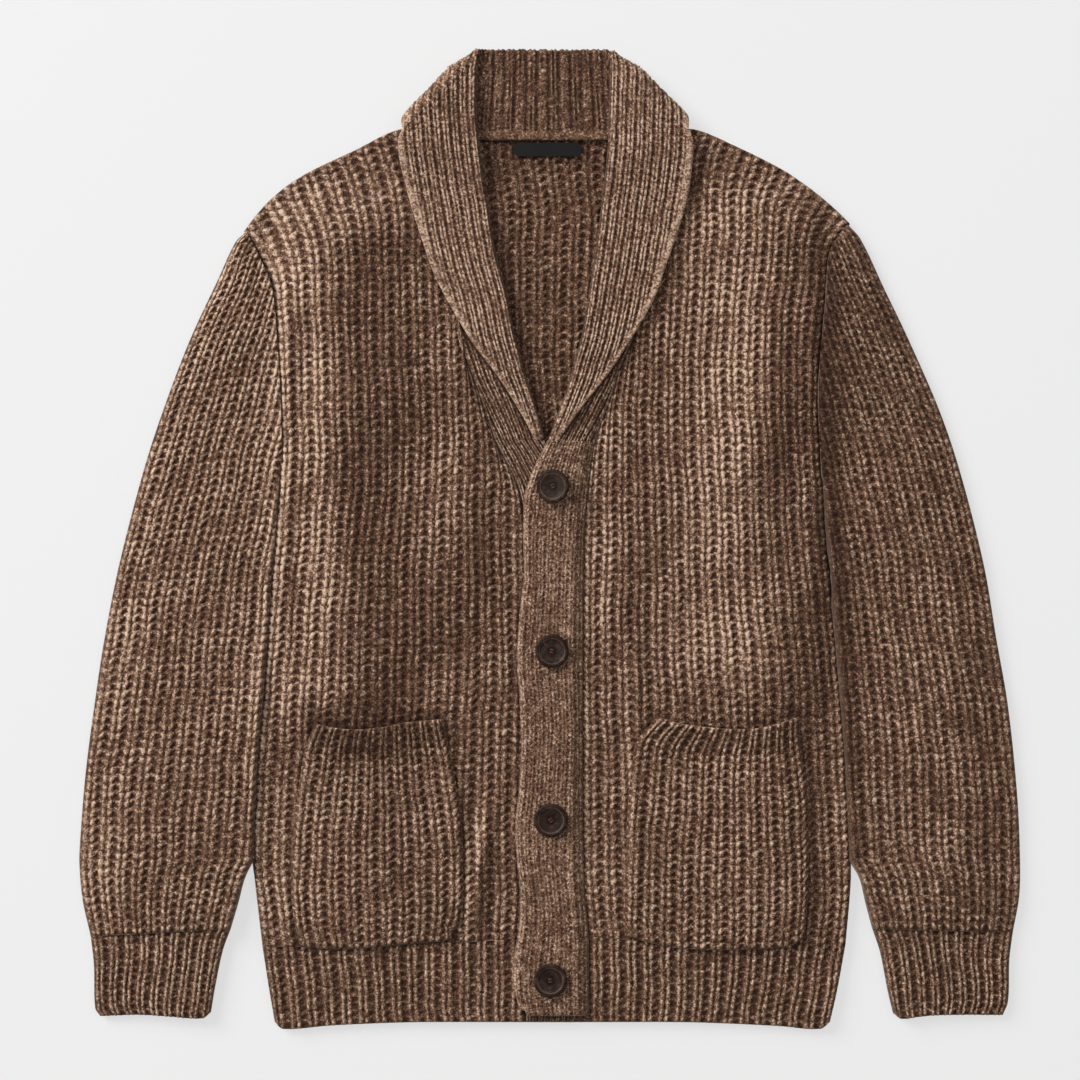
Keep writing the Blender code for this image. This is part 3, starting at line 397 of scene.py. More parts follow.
def running(line: Array) -> Array:
    """The length along a line up to each of its points."""
    return np.concatenate([[0.0], np.cumsum(np.linalg.norm(np.diff(line[:, :2], axis=0), axis=1))])


def along(line: Array, at: Array) -> Array:
    """Points of a line.

    Args:
        line: Its close points.
        at: Shares of its length, 0 to 1.

    Returns:
        A point for each share.
    """
    marks = running(line)
    want = np.clip(at, 0.0, 1.0) * marks[-1]
    return np.stack([np.interp(want, marks, line[:, n]) for n in range(line.shape[1])], axis=-1)


def extended(line: Array, more: float) -> Array:
    """A line with a bit more at its end, in mm."""
    way = line[-1] - line[-2]
    return np.concatenate([line, line[-1:] + way / np.linalg.norm(way) * more])


def ease(t: Array) -> Array:
    """A soft step from 0 to 1."""
    t = np.clip(t, 0.0, 1.0)
    return t * t * (3 - 2 * t)



@dataclass
class Edge:
    """One side of a patch, sampled by share.

    Attributes:
        line: Its close points.
        by_x: Whether a share counts in x, as on a top edge, or in length.
    """

    line: Array
    by_x: bool = False

    def at(self, share: Array) -> Array:
        """Points at these shares."""
        if not self.by_x:
            return along(self.line, share)
        x = self.line[0, 0] + (self.line[-1, 0] - self.line[0, 0]) * share
        return np.stack([x, np.interp(x, self.line[:, 0], self.line[:, 1])], axis=-1)


@dataclass
class Bent(Edge):
    """An edge whose first stretch takes a set share, so that a corner keeps its place.

    Attributes:
        split: Index of the close point where the first stretch ends.
        share: The share that it takes.
    """

    split: int = 0
    share: float = 0.5

    def at(self, share: Array) -> Array:
        """Points at these shares."""
        first, second = self.line[: self.split + 1], self.line[self.split :]
        low = along(first, share / self.share)
        high = along(second, (share - self.share) / (1 - self.share))
        return np.where((share < self.share)[:, None], low, high)


@dataclass
class Patch:
    """A surface between four edges, u from left to right and v from foot to top."""

    foot: Edge
    top: Edge
    left: Edge
    right: Edge

    def grid(self, us: Array, vs: Array) -> Array:
        """The points at every u and v, as an array of (u, v, xy)."""
        foot, top = self.foot.at(us)[:, None], self.top.at(us)[:, None]
        left, right = self.left.at(vs)[None], self.right.at(vs)[None]
        u, v = us[:, None, None], vs[None, :, None]
        corners = (
            (1 - u) * (1 - v) * foot[:1]
            + u * (1 - v) * foot[-1:]
            + (1 - u) * v * top[:1]
            + u * v * top[-1:]
        )
        return (1 - v) * foot + v * top + (1 - u) * left + u * right - corners


# Knitting.

UNEVEN = 0.40  # how much a stitch's height may differ from the next one's
SPECK = 0.20  # how rough the yarn is


@dataclass(frozen=True)
class Stitch:
    """A rib of knit stitches: two legs a row that lean into a V, and a groove with a bar a row.

    Attributes:
        course: Height of one row, in mm.
        low: Height of the groove's bottom over the cloth's underside, in mm.
        high: Height of a leg's crest, in mm.
        spread: A leg's distance from the rib's middle, as a share of the rib.
        width: Half a leg's width, as a share of the rib.
        slant: How far a leg leans over one row, as a share of the rib.
        length: Half a leg's length, in rows.
        bar: Height of the groove's bars, as a share of a leg's.
        floor: Height share of the groove's bottom, more than 0 for a felted knit.
        tone: How light the yarn is painted, 1 on an outer face; the yarn is the same throughout, so less, as
            on the back and the collar's stand, is painted shade, and more, as on the lapels, is painted
            light.
    """

    course: float = 6.8
    low: float = 1.9
    high: float = 5.4
    spread: float = 0.195
    width: float = 0.16
    slant: float = 0.10
    length: float = 0.53
    bar: float = 0.60
    floor: float = 0.0
    tone: float = 1.0

    def form(self, rib: Array, row: Array) -> Array:
        """How far the yarn stands up, 0 in a groove and 1 on a crest.

        Args:
            rib: Place across, in ribs.
            row: Place along, in rows.

        Returns:
            The height share at each place.
        """
        which = np.floor(rib)
        across = np.abs(rib - which - 0.5)
        place = row + 0.08 * np.sin(which * 2.4 + row * 0.23) + 0.04 * np.sin(which * 5.1 - row * 0.8)
        course = np.floor(place)
        phase = place - course - 0.5
        side = np.where(rib - which > 0.5, 3.0, 0.0)
        chance = np.abs(np.sin(which * 12.99 + course * 78.23 + side)) ** 0.7
        stray = 0.022 * np.sin(which * 37.7 + course * 51.3 + side)
        legs = np.zeros_like(rib)
        bars = np.zeros_like(rib)
        for k in (-1.0, 0.0, 1.0):
            t = phase - k
            lean = (across - self.spread - stray - self.slant * t) / self.width
            tall = (t - 0.06) / self.length
            legs = np.maximum(legs, np.sqrt(np.clip(1 - lean**2 - tall**2, 0.0, 1.0)))
            arch = t - 0.40 + 1.2 * (0.5 - across) ** 2
            purl = (np.maximum(0.5 - across - 0.14, 0.0) / 0.12) ** 2 + (arch / 0.24) ** 2
            bars = np.maximum(bars, np.sqrt(np.clip(1 - purl, 0.0, 1.0)))
        under = 0.24 * ease((0.42 - across) / 0.14)
        height = 1 - UNEVEN + UNEVEN * chance
        form = under + (1 - under) * legs * height
        form = np.maximum(form, self.bar * bars * height)
        speck = np.sin(np.round(rib * 12.0) * 12.9898 + np.round(row * 5.0) * 78.233) * 43758.5453
        form = form + SPECK * (speck - np.floor(speck) - 0.5)
        return self.floor + (1 - self.floor) * form

    def rise(self, form: Array) -> Array:
        """The cloth's thickness for a height share."""
        return self.low + (self.high - self.low) * form


FINE = 12  # points across one rib
LONGEST = 700.0  # longer than any piece
BACK_RIBS = 34
UNDER_RIBS = 8
UNDERARM = SIDE_STEPS / (SIDE_STEPS + ARMHOLE_STEPS)  # its share of a body edge
SLEEVE_CUT = -60.0  # above here the inner side cuts a sleeve's ribs off
SLEEVE_PITCH = [(-60.0, 12.6), (30.0, 12.2), (100.0, 11.7), (160.0, 10.4), (245.0, 8.2)]  # height, rib
# The tones below paint light and shade into the one yarn: the back, the stand behind the neck, the bands and
# the hems darker as painted shade, the collar lighter as painted light.
BODY_KNIT = Stitch(low=2.1, high=5.2)
SLEEVE_KNIT = Stitch(low=2.1, high=5.2)
BACK_KNIT = Stitch(low=0.6, high=4.0, width=0.14, bar=0.80, tone=0.66)
POCKET_KNIT = Stitch(course=6.2, low=1.2, high=4.6)
HEM_KNIT = Stitch(course=6.2, spread=0.18, slant=0.04, length=0.66, width=0.13, bar=0.46, tone=0.93)
CUFF_KNIT = Stitch(course=5.8, low=1.7, high=5.1, spread=0.18, slant=0.04, length=0.66, width=0.13, bar=0.46)
BAND_KNIT = Stitch(course=4.8, low=2.4, high=5.0, length=0.62, floor=0.45, tone=0.70)
UNDER_KNIT = Stitch(course=4.8, low=2.4, high=5.0, length=0.70, bar=0.30, tone=0.92)
COLLAR_KNIT = Stitch(course=5.0, low=2.4, high=4.5, length=0.62, bar=0.30, floor=0.02, tone=1.21)
NAPE_KNIT = Stitch(course=5.4, low=1.7, high=4.5, width=0.17, slant=0.06, length=0.74, bar=0.24, tone=0.60)

SLOPE_PAINTED_LIGHT = 2.0  # painted light and shade: change of the yarn's painted brightness for a slope of 1 towards the key lamp
MOUTH_LIFT = 5.5  # how far a pocket's mouth stands off the front
MOUTH_TRIM = 26.0  # depth of the straight rib along it
STAND_TONE = 0.14  # painted shade: how much darker the collar's inner face, under and beside the fall, is painted than its lapels
SWAY_BEND = 0.18  # how far a soft wave snakes, as a share of its half width
SWAY_LEAD = 30.0  # how far it runs on past its ends

# Soft waves of the cloth as it was laid down: x and y at the foot and at the top, half width, height.
SWAYS = [
    (-229.0, -200.0, -209.0, 40.0, 10.0, 2.6),
    (-206.0, 30.0, -211.0, 205.0, 10.0, 2.6),
    (-154.0, -150.0, -166.0, 262.0, 52.0, 12.0),
    (-58.0, -40.0, -76.0, 150.0, 18.0, 2.6),
    (-160.0, -330.0, -176.0, -110.0, 60.0, 2.6),
    (-62.0, -310.0, -84.0, -130.0, 14.0, 1.6),
    (178.0, -130.0, 184.0, 262.0, 46.0, 10.0),
    (58.0, -70.0, 62.0, 110.0, 20.0, 2.0),
    (69.0, -275.0, 68.0, -82.0, 5.0, 1.4),
    (176.0, -330.0, 184.0, -90.0, 46.0, 3.2),
    (232.0, -200.0, 212.0, 50.0, 10.0, 2.4),
    (212.0, 40.0, 216.0, 205.0, 10.0, 2.4),
    (-60.0, -312.0, -51.0, -226.0, 6.5, 4.2),
    (-330.0, -300.0, -318.0, -60.0, 24.0, 1.6),
    (330.0, -300.0, 322.0, -60.0, 26.0, 1.8),
]


def raised(table: Table, x: Array, y: Array, bend: float = 0.0, lead: float = 0.0) -> Array:
    """How far a table's soft ridges lift the cloth.

    Args:
        table: Their x and y at the foot and at the top, half widths and heights.
        x: Places across.
        y: Places along.
        bend: How far the ridges snake, as a share of their half widths.
        lead: How far they run on past their ends, in mm.

    Returns:
        The lift at each place, in mm.
    """
    lift = np.zeros_like(x)
    for foot_x, foot_y, top_x, top_y, half, height in table:
        share = (y - foot_y) / (top_y - foot_y)
        middle = foot_x + (top_x - foot_x) * share + bend * half * np.sin(y / 27.0 + foot_x)
        fade = ease((y - foot_y + lead) / FOLD_FADE) * ease((top_y + lead - y) / FOLD_FADE)
        lift += height * fade * np.exp(-(((x - middle) / half) ** 2))
    return lift


def sway(x: Array, y: Array) -> Array:
    """How far the soft waves lift the cloth, in mm."""
    return raised(SWAYS, x, y, SWAY_BEND, SWAY_LEAD)


def front_base(x: Array, y: Array) -> Array:
    """A front's underside, down on the back at the side seams."""
    return FRONT_BASE + raised(FOLDS, x, y) + sway(x, y) * ease((228.0 - np.abs(x)) / 22.0)


def painted_slope_light(base: Height, x: Array, y: Array) -> Array:
    """Painted light and shade: how much lighter the yarn is painted where the cloth under it rises away from
    the key lamp and so faces it, and darker where it faces away; 0 where it lies level.
    """
    rise = base(x + 3.2, y - 2.4) - base(x - 3.2, y + 2.4)
    return SLOPE_PAINTED_LIGHT * np.clip(rise, -1.6, 1.6) / 8.0


def level(height: float) -> Height:
    """A flat underside."""
    return lambda x, y: np.full_like(x, height)


def wander(grid: Array, mask: Array, amount: float = 0.8) -> None:
    """Lets the ribs stray sideways a little, away from the edges.

    Args:
        grid: Points (u, v, xy), changed in place.
        mask: 0 at an edge, 1 inside.
        amount: How far, in mm.
    """
    x, y = grid[..., 0].copy(), grid[..., 1].copy()
    grid[..., 0] += mask * amount * np.sin(y / 31.0 + 1.7 * np.sin(x / 47.0))
    grid[..., 0] += mask * 0.5 * amount * np.sin(y / 13.0 + x / 19.0)
    grid[..., 1] += mask * 1.4 * amount * np.sin(x / 41.0 + 1.1 * np.sin(y / 83.0))


# Meshes.


@dataclass
class Cloth:
    """A mesh of cloth as it is put together, in millimetres.

    Attributes:
        name: The piece's name.
    """

    name: str
    points: list[Array] = field(default_factory=list)
    knit: list[Array] = field(default_factory=list)
    form: list[Array] = field(default_factory=list)
    faces: list[list[int]] = field(default_factory=list)
    count: int = 0

    def add(self, points: Array, knit: Array | None = None, form: Array | None = None) -> Array:
        """Adds points.

        Args:
            points: Their x, y and z.
            knit: Their ribs and rows.
            form: Their height shares.

        Returns:
            Their indices, in the same layout.
        """
        shape = points.shape[:-1]
        total = int(np.prod(shape))
        self.points.append(points.reshape(-1, 3))
        flat = points.reshape(-1, 3)[:, :2] / 12.0
        self.knit.append(flat if knit is None else knit.reshape(-1, 2))
        self.form.append(np.full(total, 0.45) if form is None else form.reshape(-1))
        indices = np.arange(self.count, self.count + total).reshape(shape)
        self.count += total
        return indices

    def columns(
        self, points: Array, stops: Array, knit: Array | None = None, form: Array | None = None
    ) -> Array:
        """Adds columns of points, each up to its own end.

        Args:
            points: Their x, y and z, as (columns, rows, 3).
            stops: The row of each column's end.
            knit: Their ribs and rows.
            form: Their height shares.

        Returns:
            Their indices; past a column's end they repeat it.
        """
        rows = np.arange(points.shape[1])
        kept = rows[None] <= stops[:, None]
        indices = np.full(kept.shape, -1)
        indices[kept] = self.add(
            points[kept], None if knit is None else knit[kept], None if form is None else form[kept]
        )
        return indices[np.arange(len(stops))[:, None], np.minimum(rows[None], stops[:, None])]

    def quads(self, indices: Array, closed: bool = False) -> None:
        """Faces over a grid of indices; repeated ones close up.

        Args:
            indices: The grid.
            closed: Whether its second direction closes on itself.
        """
        if closed:
            indices = np.concatenate([indices, indices[:, :1]], axis=1)
        a, b = indices[:-1, :-1].ravel(), indices[1:, :-1].ravel()
        c, d = indices[1:, 1:].ravel(), indices[:-1, 1:].ravel()
        corners = np.stack([a, b, c, d], axis=1)
        whole = (a != d) & (b != c) & (a != b) & (c != d)
        self.faces += corners[whole].tolist()
        for face in corners[~whole].tolist():
            loop = list(dict.fromkeys(face))
            if len(loop) > 2:
                self.faces.append(loop)

    def face(self, corners: Sequence[int]) -> None:
        """One face."""
        self.faces.append([int(c) for c in corners])

    def pipe(self, points: Array, form: Array | None = None) -> None:
        """Adds rings of points, joined and closed at both ends.

        Args:
            points: Their x, y and z, as (rings, points, 3).
            form: Their height shares.
        """
        indices = self.add(points, None, form)
        self.quads(indices, closed=True)
        self.face(indices[0][::-1])
        self.face(indices[-1])

    def build(self, finish: "Finish") -> bpy.types.Object:
        """The finished object, with its material, at the origin."""
        points = np.concatenate(self.points) * MM
        mesh = bpy.data.meshes.new(self.name)
        mesh.from_pydata(points.tolist(), [], self.faces)
        corner = np.empty(len(mesh.loops), dtype=np.int32)
        mesh.loops.foreach_get("vertex_index", corner)
        layer = mesh.uv_layers.new(name="knit")
        layer.data.foreach_set("uv", np.concatenate(self.knit)[corner].astype(np.float32).ravel())
        # The form attribute: each point's height share times its painted light and shade, which the wool's
        # colour follows.
        shares = mesh.attributes.new("form", "FLOAT", "POINT")
        shares.data.foreach_set("value", np.concatenate(self.form).astype(np.float32))
        mesh.polygons.foreach_set("use_smooth", np.ones(len(mesh.polygons), dtype=bool))
        thing = bpy.data.objects.new(self.name, mesh)
        bpy.context.collection.objects.link(thing)
        outward(thing)
        bpy.ops.object.shade_smooth_by_angle(angle=math.radians(80))
        mesh.materials.append(finish.material())
        LOG.info("%s: %d faces", self.name, len(mesh.polygons))
        return thing


def only(thing: bpy.types.Object) -> None:
    """Selects one object and makes it the active one."""
    bpy.ops.object.select_all(action="DESELECT")
    thing.select_set(True)
    bpy.context.view_layer.objects.active = thing


def outward(thing: bpy.types.Object) -> None:
    """Turns an object's faces outward."""
    only(thing)
    bpy.ops.object.mode_set(mode="EDIT")
    bpy.ops.mesh.select_all(action="SELECT")
    bpy.ops.mesh.normals_make_consistent(inside=False)
    bpy.ops.object.mode_set(mode="OBJECT")


def steps(count: int, chosen: int) -> list[int]:
    """Indices that a plain side keeps of a fine row of points."""
    last = count - 1
    return sorted({0, last} | set(range(chosen, last - chosen // 2, chosen)))


def even(ribs: int, fine: int) -> Array:
    """Shares across a patch, with the same points on every rib."""
    return np.linspace(0.0, 1.0, ribs * fine + 1)


def distance(places: Array, line: Array) -> Array:
    """How far places are from a line.

    Args:
        places: Their x and y, in any layout.
        line: The line's close points.

    Returns:
        The distances, in the same layout.
    """
    start, way = line[:-1, :2], np.diff(line[:, :2], axis=0)
    size = np.maximum((way**2).sum(axis=1), 1e-9)
    flat = places.reshape(-1, 2)
    result = np.empty(len(flat))
    for k in range(0, len(flat), 8000):
        offset = flat[k : k + 8000, None] - start[None]
        share = np.clip((offset * way).sum(axis=2) / size, 0.0, 1.0)
        result[k : k + 8000] = np.sqrt(((offset - share[..., None] * way) ** 2).sum(axis=2).min(axis=1))
    return result.reshape(places.shape[:-1])


def painted_shading(tone: Array, places: Array, painted_shades: PaintedShades) -> Array:
    """A tone with painted shadows beside some lines, and painted highlights where the amount is below 0.

    Args:
        tone: The tone at each place, changed in place.
        places: Their x and y.
        painted_shades: The lines, how far the painted shade reaches, and how dark it is.

    Returns:
        The tone.
    """
    for line, reach, amount in painted_shades:
        tone -= amount * np.exp(-((distance(places, line) / reach) ** 2))
    return tone


@dataclass
class Columns:
    """Columns of points at set distances from their foot, each up to its own end.

    Attributes:
        places: Their x and y, as (columns, rows, 2); past a column's end they repeat it.
        run: How far each is from its column's foot.
        stops: The row of each column's end.
    """

    places: Array
    run: Array
    stops: Array

    @classmethod
    def along(cls, lines: Array, marks: Array) -> "Columns":
        """Columns on lines, at these distances from their first points."""
        runs = np.linalg.norm(np.diff(lines, axis=1), axis=2).cumsum(axis=1)
        runs = np.concatenate([np.zeros((len(lines), 1)), runs], axis=1)
        total = runs[:, -1]
        marks = np.concatenate([marks[marks < total.max() - 0.01], [total.max()]])
        run = np.minimum(marks[None], total[:, None])
        places = np.empty((*run.shape, 2))
        for n in range(2):
            for k, line in enumerate(lines):
                places[k, :, n] = np.interp(run[k], runs[k], line[:, n])
        return cls(places, run, np.searchsorted(marks, total - 1e-6))


@dataclass(kw_only=True)
class Knit:
    """What every sheet of knit has.

    Attributes:
        name: The piece's name, also its solid's.
        flat: Its cut's width and length, all round on a tube, in m; not used.
        area: Its cut's area, in m2, where it isn't a rectangle; not used.
        held: How it is held; not used.
        rests_on: What lies under it; not used.
        painted_shades: Lines beside which the yarn is painted darker as painted shadows, how far, and by how
            much; below 0, lighter as painted highlights.
    """

    name: str
    flat: tuple[float, float]
    area: float | None = None
    held: str = "laid"
    rests_on: tuple[str, ...] = ()
    painted_shades: PaintedShades = ()

    def declare(self, thing: bpy.types.Object) -> None:
        """Rides a sheet on the frame and hides the solid that it stands for."""
        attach(thing, "root")
        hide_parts(self.name)


@dataclass
class Panel(Knit):
    """One layer of knit between four edges, over a plain underside.

    Attributes:
        patch: Its edges.
        ribs: Ribs across it.
        stitch: Their stitches.
        us: Shares across at which it has columns of points.
        marks: Distances from the foot at which they have points.
        base: Its underside's height.
        round_over: Distance over which each edge rounds off: left, right, foot and top.
        corners: Rounded corners' x, y and the radius inward along each.
        trim: Depth of the straight rib along its top.
    """

    patch: Patch
    ribs: float
    stitch: Stitch
    us: Array
    marks: Array
    base: Height
    round_over: tuple[float, float, float, float] = (2.4, 2.4, 2.4, 2.4)
    corners: tuple[tuple[float, float, float, float], ...] = ()
    trim: float = 0.0

    def surface(self) -> tuple[Array, Array, Array, Array]:
        """The top's points, their ribs and rows, their height shares times their painted light and shade,
        and the columns' ends.
        """
        columns = Columns.along(self.patch.grid(self.us, np.linspace(0.0, 1.0, 241)), self.marks)
        grid = columns.places
        edges = (self.patch.left, self.patch.right, self.patch.foot, self.patch.top)
        ways = [distance(grid, edge.line) for edge in edges]
        wander(grid, ease(np.minimum.reduce(ways) / 14.0))
        for corner_x, corner_y, in_x, in_y in self.corners:
            over_x = 1 - (grid[..., 0] - corner_x) / in_x
            over_y = 1 - (grid[..., 1] - corner_y) / in_y
            inside = (over_x > 0.0) & (over_y > 0.0)
            round_to = np.maximum(over_x, over_y) / np.maximum(np.hypot(over_x, over_y), 1e-6)
            pull = np.where(inside, 1 - round_to, 0.0)
            grid[..., 0] += pull * over_x * in_x
            grid[..., 1] += pull * over_y * in_y
        rib = self.us[:, None] * self.ribs + np.zeros_like(columns.run)
        row = columns.run / self.stitch.course
        form = self.stitch.form(rib, row)
        plain = ease((self.trim - ways[3]) / 9.0)
        form = form * (1 - plain) + HEM_KNIT.form(rib, row) * plain
        drop = np.ones_like(form)
        for way, reach in zip(ways, self.round_over):
            if reach > 0.0:
                drop *= 0.42 + 0.58 * np.sqrt(1 - np.clip(1 - way / reach, 0.0, 1.0) ** 2)
        x, y = grid[..., 0], grid[..., 1]
        z = self.base(x, y) + self.stitch.rise(form) * drop
        # Painted light and shade, in the colour only, as the height is already set: the knit's tone, lighter
        # on slopes that face the key lamp and darker on those that face away, with painted shadows and
        # highlights beside given lines.
        form *= painted_shading(self.stitch.tone + painted_slope_light(self.base, x, y), grid, self.painted_shades)
        return np.stack([x, y, z], axis=-1), np.stack([rib, row], axis=-1), form, columns.stops

    def make(self, finish: "Finish") -> None:
        """Builds the panel, rides it on the frame and hides its solid."""
        cloth = Cloth(self.name + "_knit")
        points, knit, form, stops = self.surface()
        upper = cloth.columns(points, stops, knit, form)
        points[..., 2] = self.base(points[..., 0], points[..., 1])
        lower = self.underside(cloth, points, stops)
        cloth.quads(upper)
        last = len(stops) - 1
        ring = [(i, 0) for i in range(last)] + [(last, j) for j in range(stops[last])]
        ring += [(i, stops[i]) for i in range(last, 0, -1)]
        ring += [(0, j) for j in range(stops[0], 0, -1)]
        cloth.quads(np.array([[upper[k], lower[k]] for k in ring]).T, closed=True)
        self.declare(cloth.build(finish))

    @staticmethod
    def underside(cloth: Cloth, points: Array, stops: Array) -> Array:
        """Adds the plain underside in large faces, and gives its indices, -1 for none."""
        last, level_rows = len(stops) - 1, set(range(0, points.shape[1], 24))
        chosen = steps(last + 1, 14)
        kept = np.zeros(points.shape[:2], dtype=bool)
        kept[:, 0] = True
        kept[np.arange(last + 1), stops] = True
        for i in (0, last):
            kept[i, : stops[i] + 1] = True
        for i in chosen:
            for j in level_rows:
                kept[i, j] |= j < stops[i]
        lower = np.full(kept.shape, -1)
        lower[kept] = cloth.add(points[kept])

        def column(i: int, start: int, end: int) -> list[int]:
            """The points kept of one column's stretch."""
            return [lower[i, j] for j in range(start, end) if kept[i, j]]

        for i0, i1 in zip(chosen, chosen[1:]):
            lowest = min(stops[i0 : i1 + 1])
            common = [j for j in sorted(level_rows) if j < lowest]
            for j0, j1 in zip(common, common[1:] + [-1]):
                outline = [lower[i, j0] for i in (range(i0, i1) if j0 == 0 else (i0,))]
                if j1 > 0:
                    outline += column(i1, j0, j1 + 1) + column(i0, j0 + 1, j1 + 1)[::-1]
                else:
                    outline += column(i1, j0, stops[i1] + 1)
                    outline += [lower[i, stops[i]] for i in range(i1 - 1, i0 - 1, -1)]
                    outline += column(i0, j0 + 1, stops[i0])[::-1]
                cloth.face(outline)
        return lower


@dataclass
class Tube(Knit):
    """A sleeve or cuff laid flat: knit on top, a flat underside and a slit between.

    Attributes:
        lines: Its columns' lines from the foot up, from one folded side to the other.
        ribs: The rib at each column.
        stitch: Its stitches.
        pace: Distance between its rows of points, in mm.
        sides: Its folded sides, which round over.
        puff: How far its upper layer rises over a flat one, at given places.
        lips: How far the cloth dips at its foot and at its top, in mm.
        rounding: Distance over which its first side rounds over, in mm.
        fuller: How much more tightly its second side rounds over.
    """

    lines: Array
    ribs: Array
    stitch: Stitch
    pace: float
    sides: tuple[Array, ...]
    puff: Height
    lips: tuple[float, float] = (1.4, 0.5)
    rounding: float = 8.0
    fuller: float = 1.0

    def surface(self, columns: Columns) -> tuple[Array, Array, Array, Array]:
        """The upper layer.

        Args:
            columns: Its columns of points, which this lets stray a little.

        Returns:
            Its points, their ribs and rows, their height shares times their painted light and shade, and the
            slit's ceiling under them.
        """
        grid = columns.places
        first, second = (distance(grid, line) for line in self.sides)
        side = np.minimum(first, second * self.fuller)
        ends = (columns.run, distance(grid, self.lines[:, -1]))
        wander(grid, ease(np.minimum.reduce([side, *ends]) / 14.0))
        rib = self.ribs[:, None] + np.zeros_like(side)
        row = columns.run / self.stitch.course
        form = self.stitch.form(rib, row)
        rounded = np.sqrt(1 - np.clip(1 - side / self.rounding, 0.0, 1.0) ** 2)
        ceiling = FRONT_BASE + self.puff(grid[..., 0], grid[..., 1])
        rise = ceiling + self.stitch.rise(form)
        for lip, way in zip(self.lips, ends):
            rise -= lip * np.clip(1 - way / 3.0, 0.0, 1.0) ** 2
        z = FRONT_BASE + (rise - FRONT_BASE) * rounded
        # Painted light and shade, in the colour only: the knit's tone, lighter where the swell faces the key
        # lamp and darker where it faces away, with painted shadows and highlights beside given lines.
        tone = self.stitch.tone + painted_slope_light(self.puff, grid[..., 0], grid[..., 1])
        form *= painted_shading(tone, grid, self.painted_shades)
        return np.dstack([grid, z]), np.stack([rib, row], axis=-1), form, ceiling

    def make(self, finish: "Finish") -> None:
        """Builds the tube, rides it on the frame and hides its solid."""
        cloth = Cloth(self.name + "_knit")
        columns = Columns.along(self.lines, np.arange(0.0, LONGEST, self.pace))
        grid, stops = columns.places, columns.stops
        points, knit, form, full = self.surface(columns)
        top = cloth.columns(points, stops, knit, form)
        last = len(stops) - 1
        plain = list(range(24, last - 12, 24))
        under = [1, 3, *plain, last - 3, last - 1]
        heights = np.array([1.7, 0.25, *([0.0] * len(plain)), 0.25, 1.7])
        low = np.dstack([grid[under], np.broadcast_to(heights[:, None], grid[under].shape[:2])])
        bottom = cloth.columns(low, stops[under])
        cloth.quads(top)
        cloth.quads(np.concatenate([top[:1], bottom, top[-1:]]))
        slit = [3, *plain, last - 3]
        rows = np.array(steps(grid.shape[1], 12))
        sparse, ends_at = grid[slit][:, rows], np.searchsorted(rows, stops[slit])
        ceiling = full[slit][:, rows]
        ceiling[:, [0, -1]] = BACK_THICK + 0.2
        ceiling[np.arange(len(slit)), ends_at] = BACK_THICK + 0.2
        roof = cloth.columns(np.dstack([sparse, ceiling]), ends_at)
        ground = np.full(ceiling.shape, BACK_THICK)
        floor = cloth.columns(np.dstack([sparse, ground])[1:-1], ends_at[1:-1])
        cloth.quads(np.concatenate([roof, floor[::-1], roof[:1]]))
        ground_all = np.concatenate([roof[:1], floor, roof[-1:]])
        for j in (0, -1):
            for n in range(len(slit) - 1):
                cloth.face([*top[slit[n] : slit[n + 1] + 1, j], roof[n + 1, j], roof[n, j]])
                cloth.face([ground_all[n, j], ground_all[n + 1, j], bottom[n + 2, j], bottom[n + 1, j]])
            cloth.face([*top[:4, j], roof[0, j], bottom[1, j], bottom[0, j]])
            cloth.face([*top[-4:, j], bottom[-1, j], bottom[-2, j], roof[-1, j]])
        self.declare(cloth.build(finish))


# The collar.


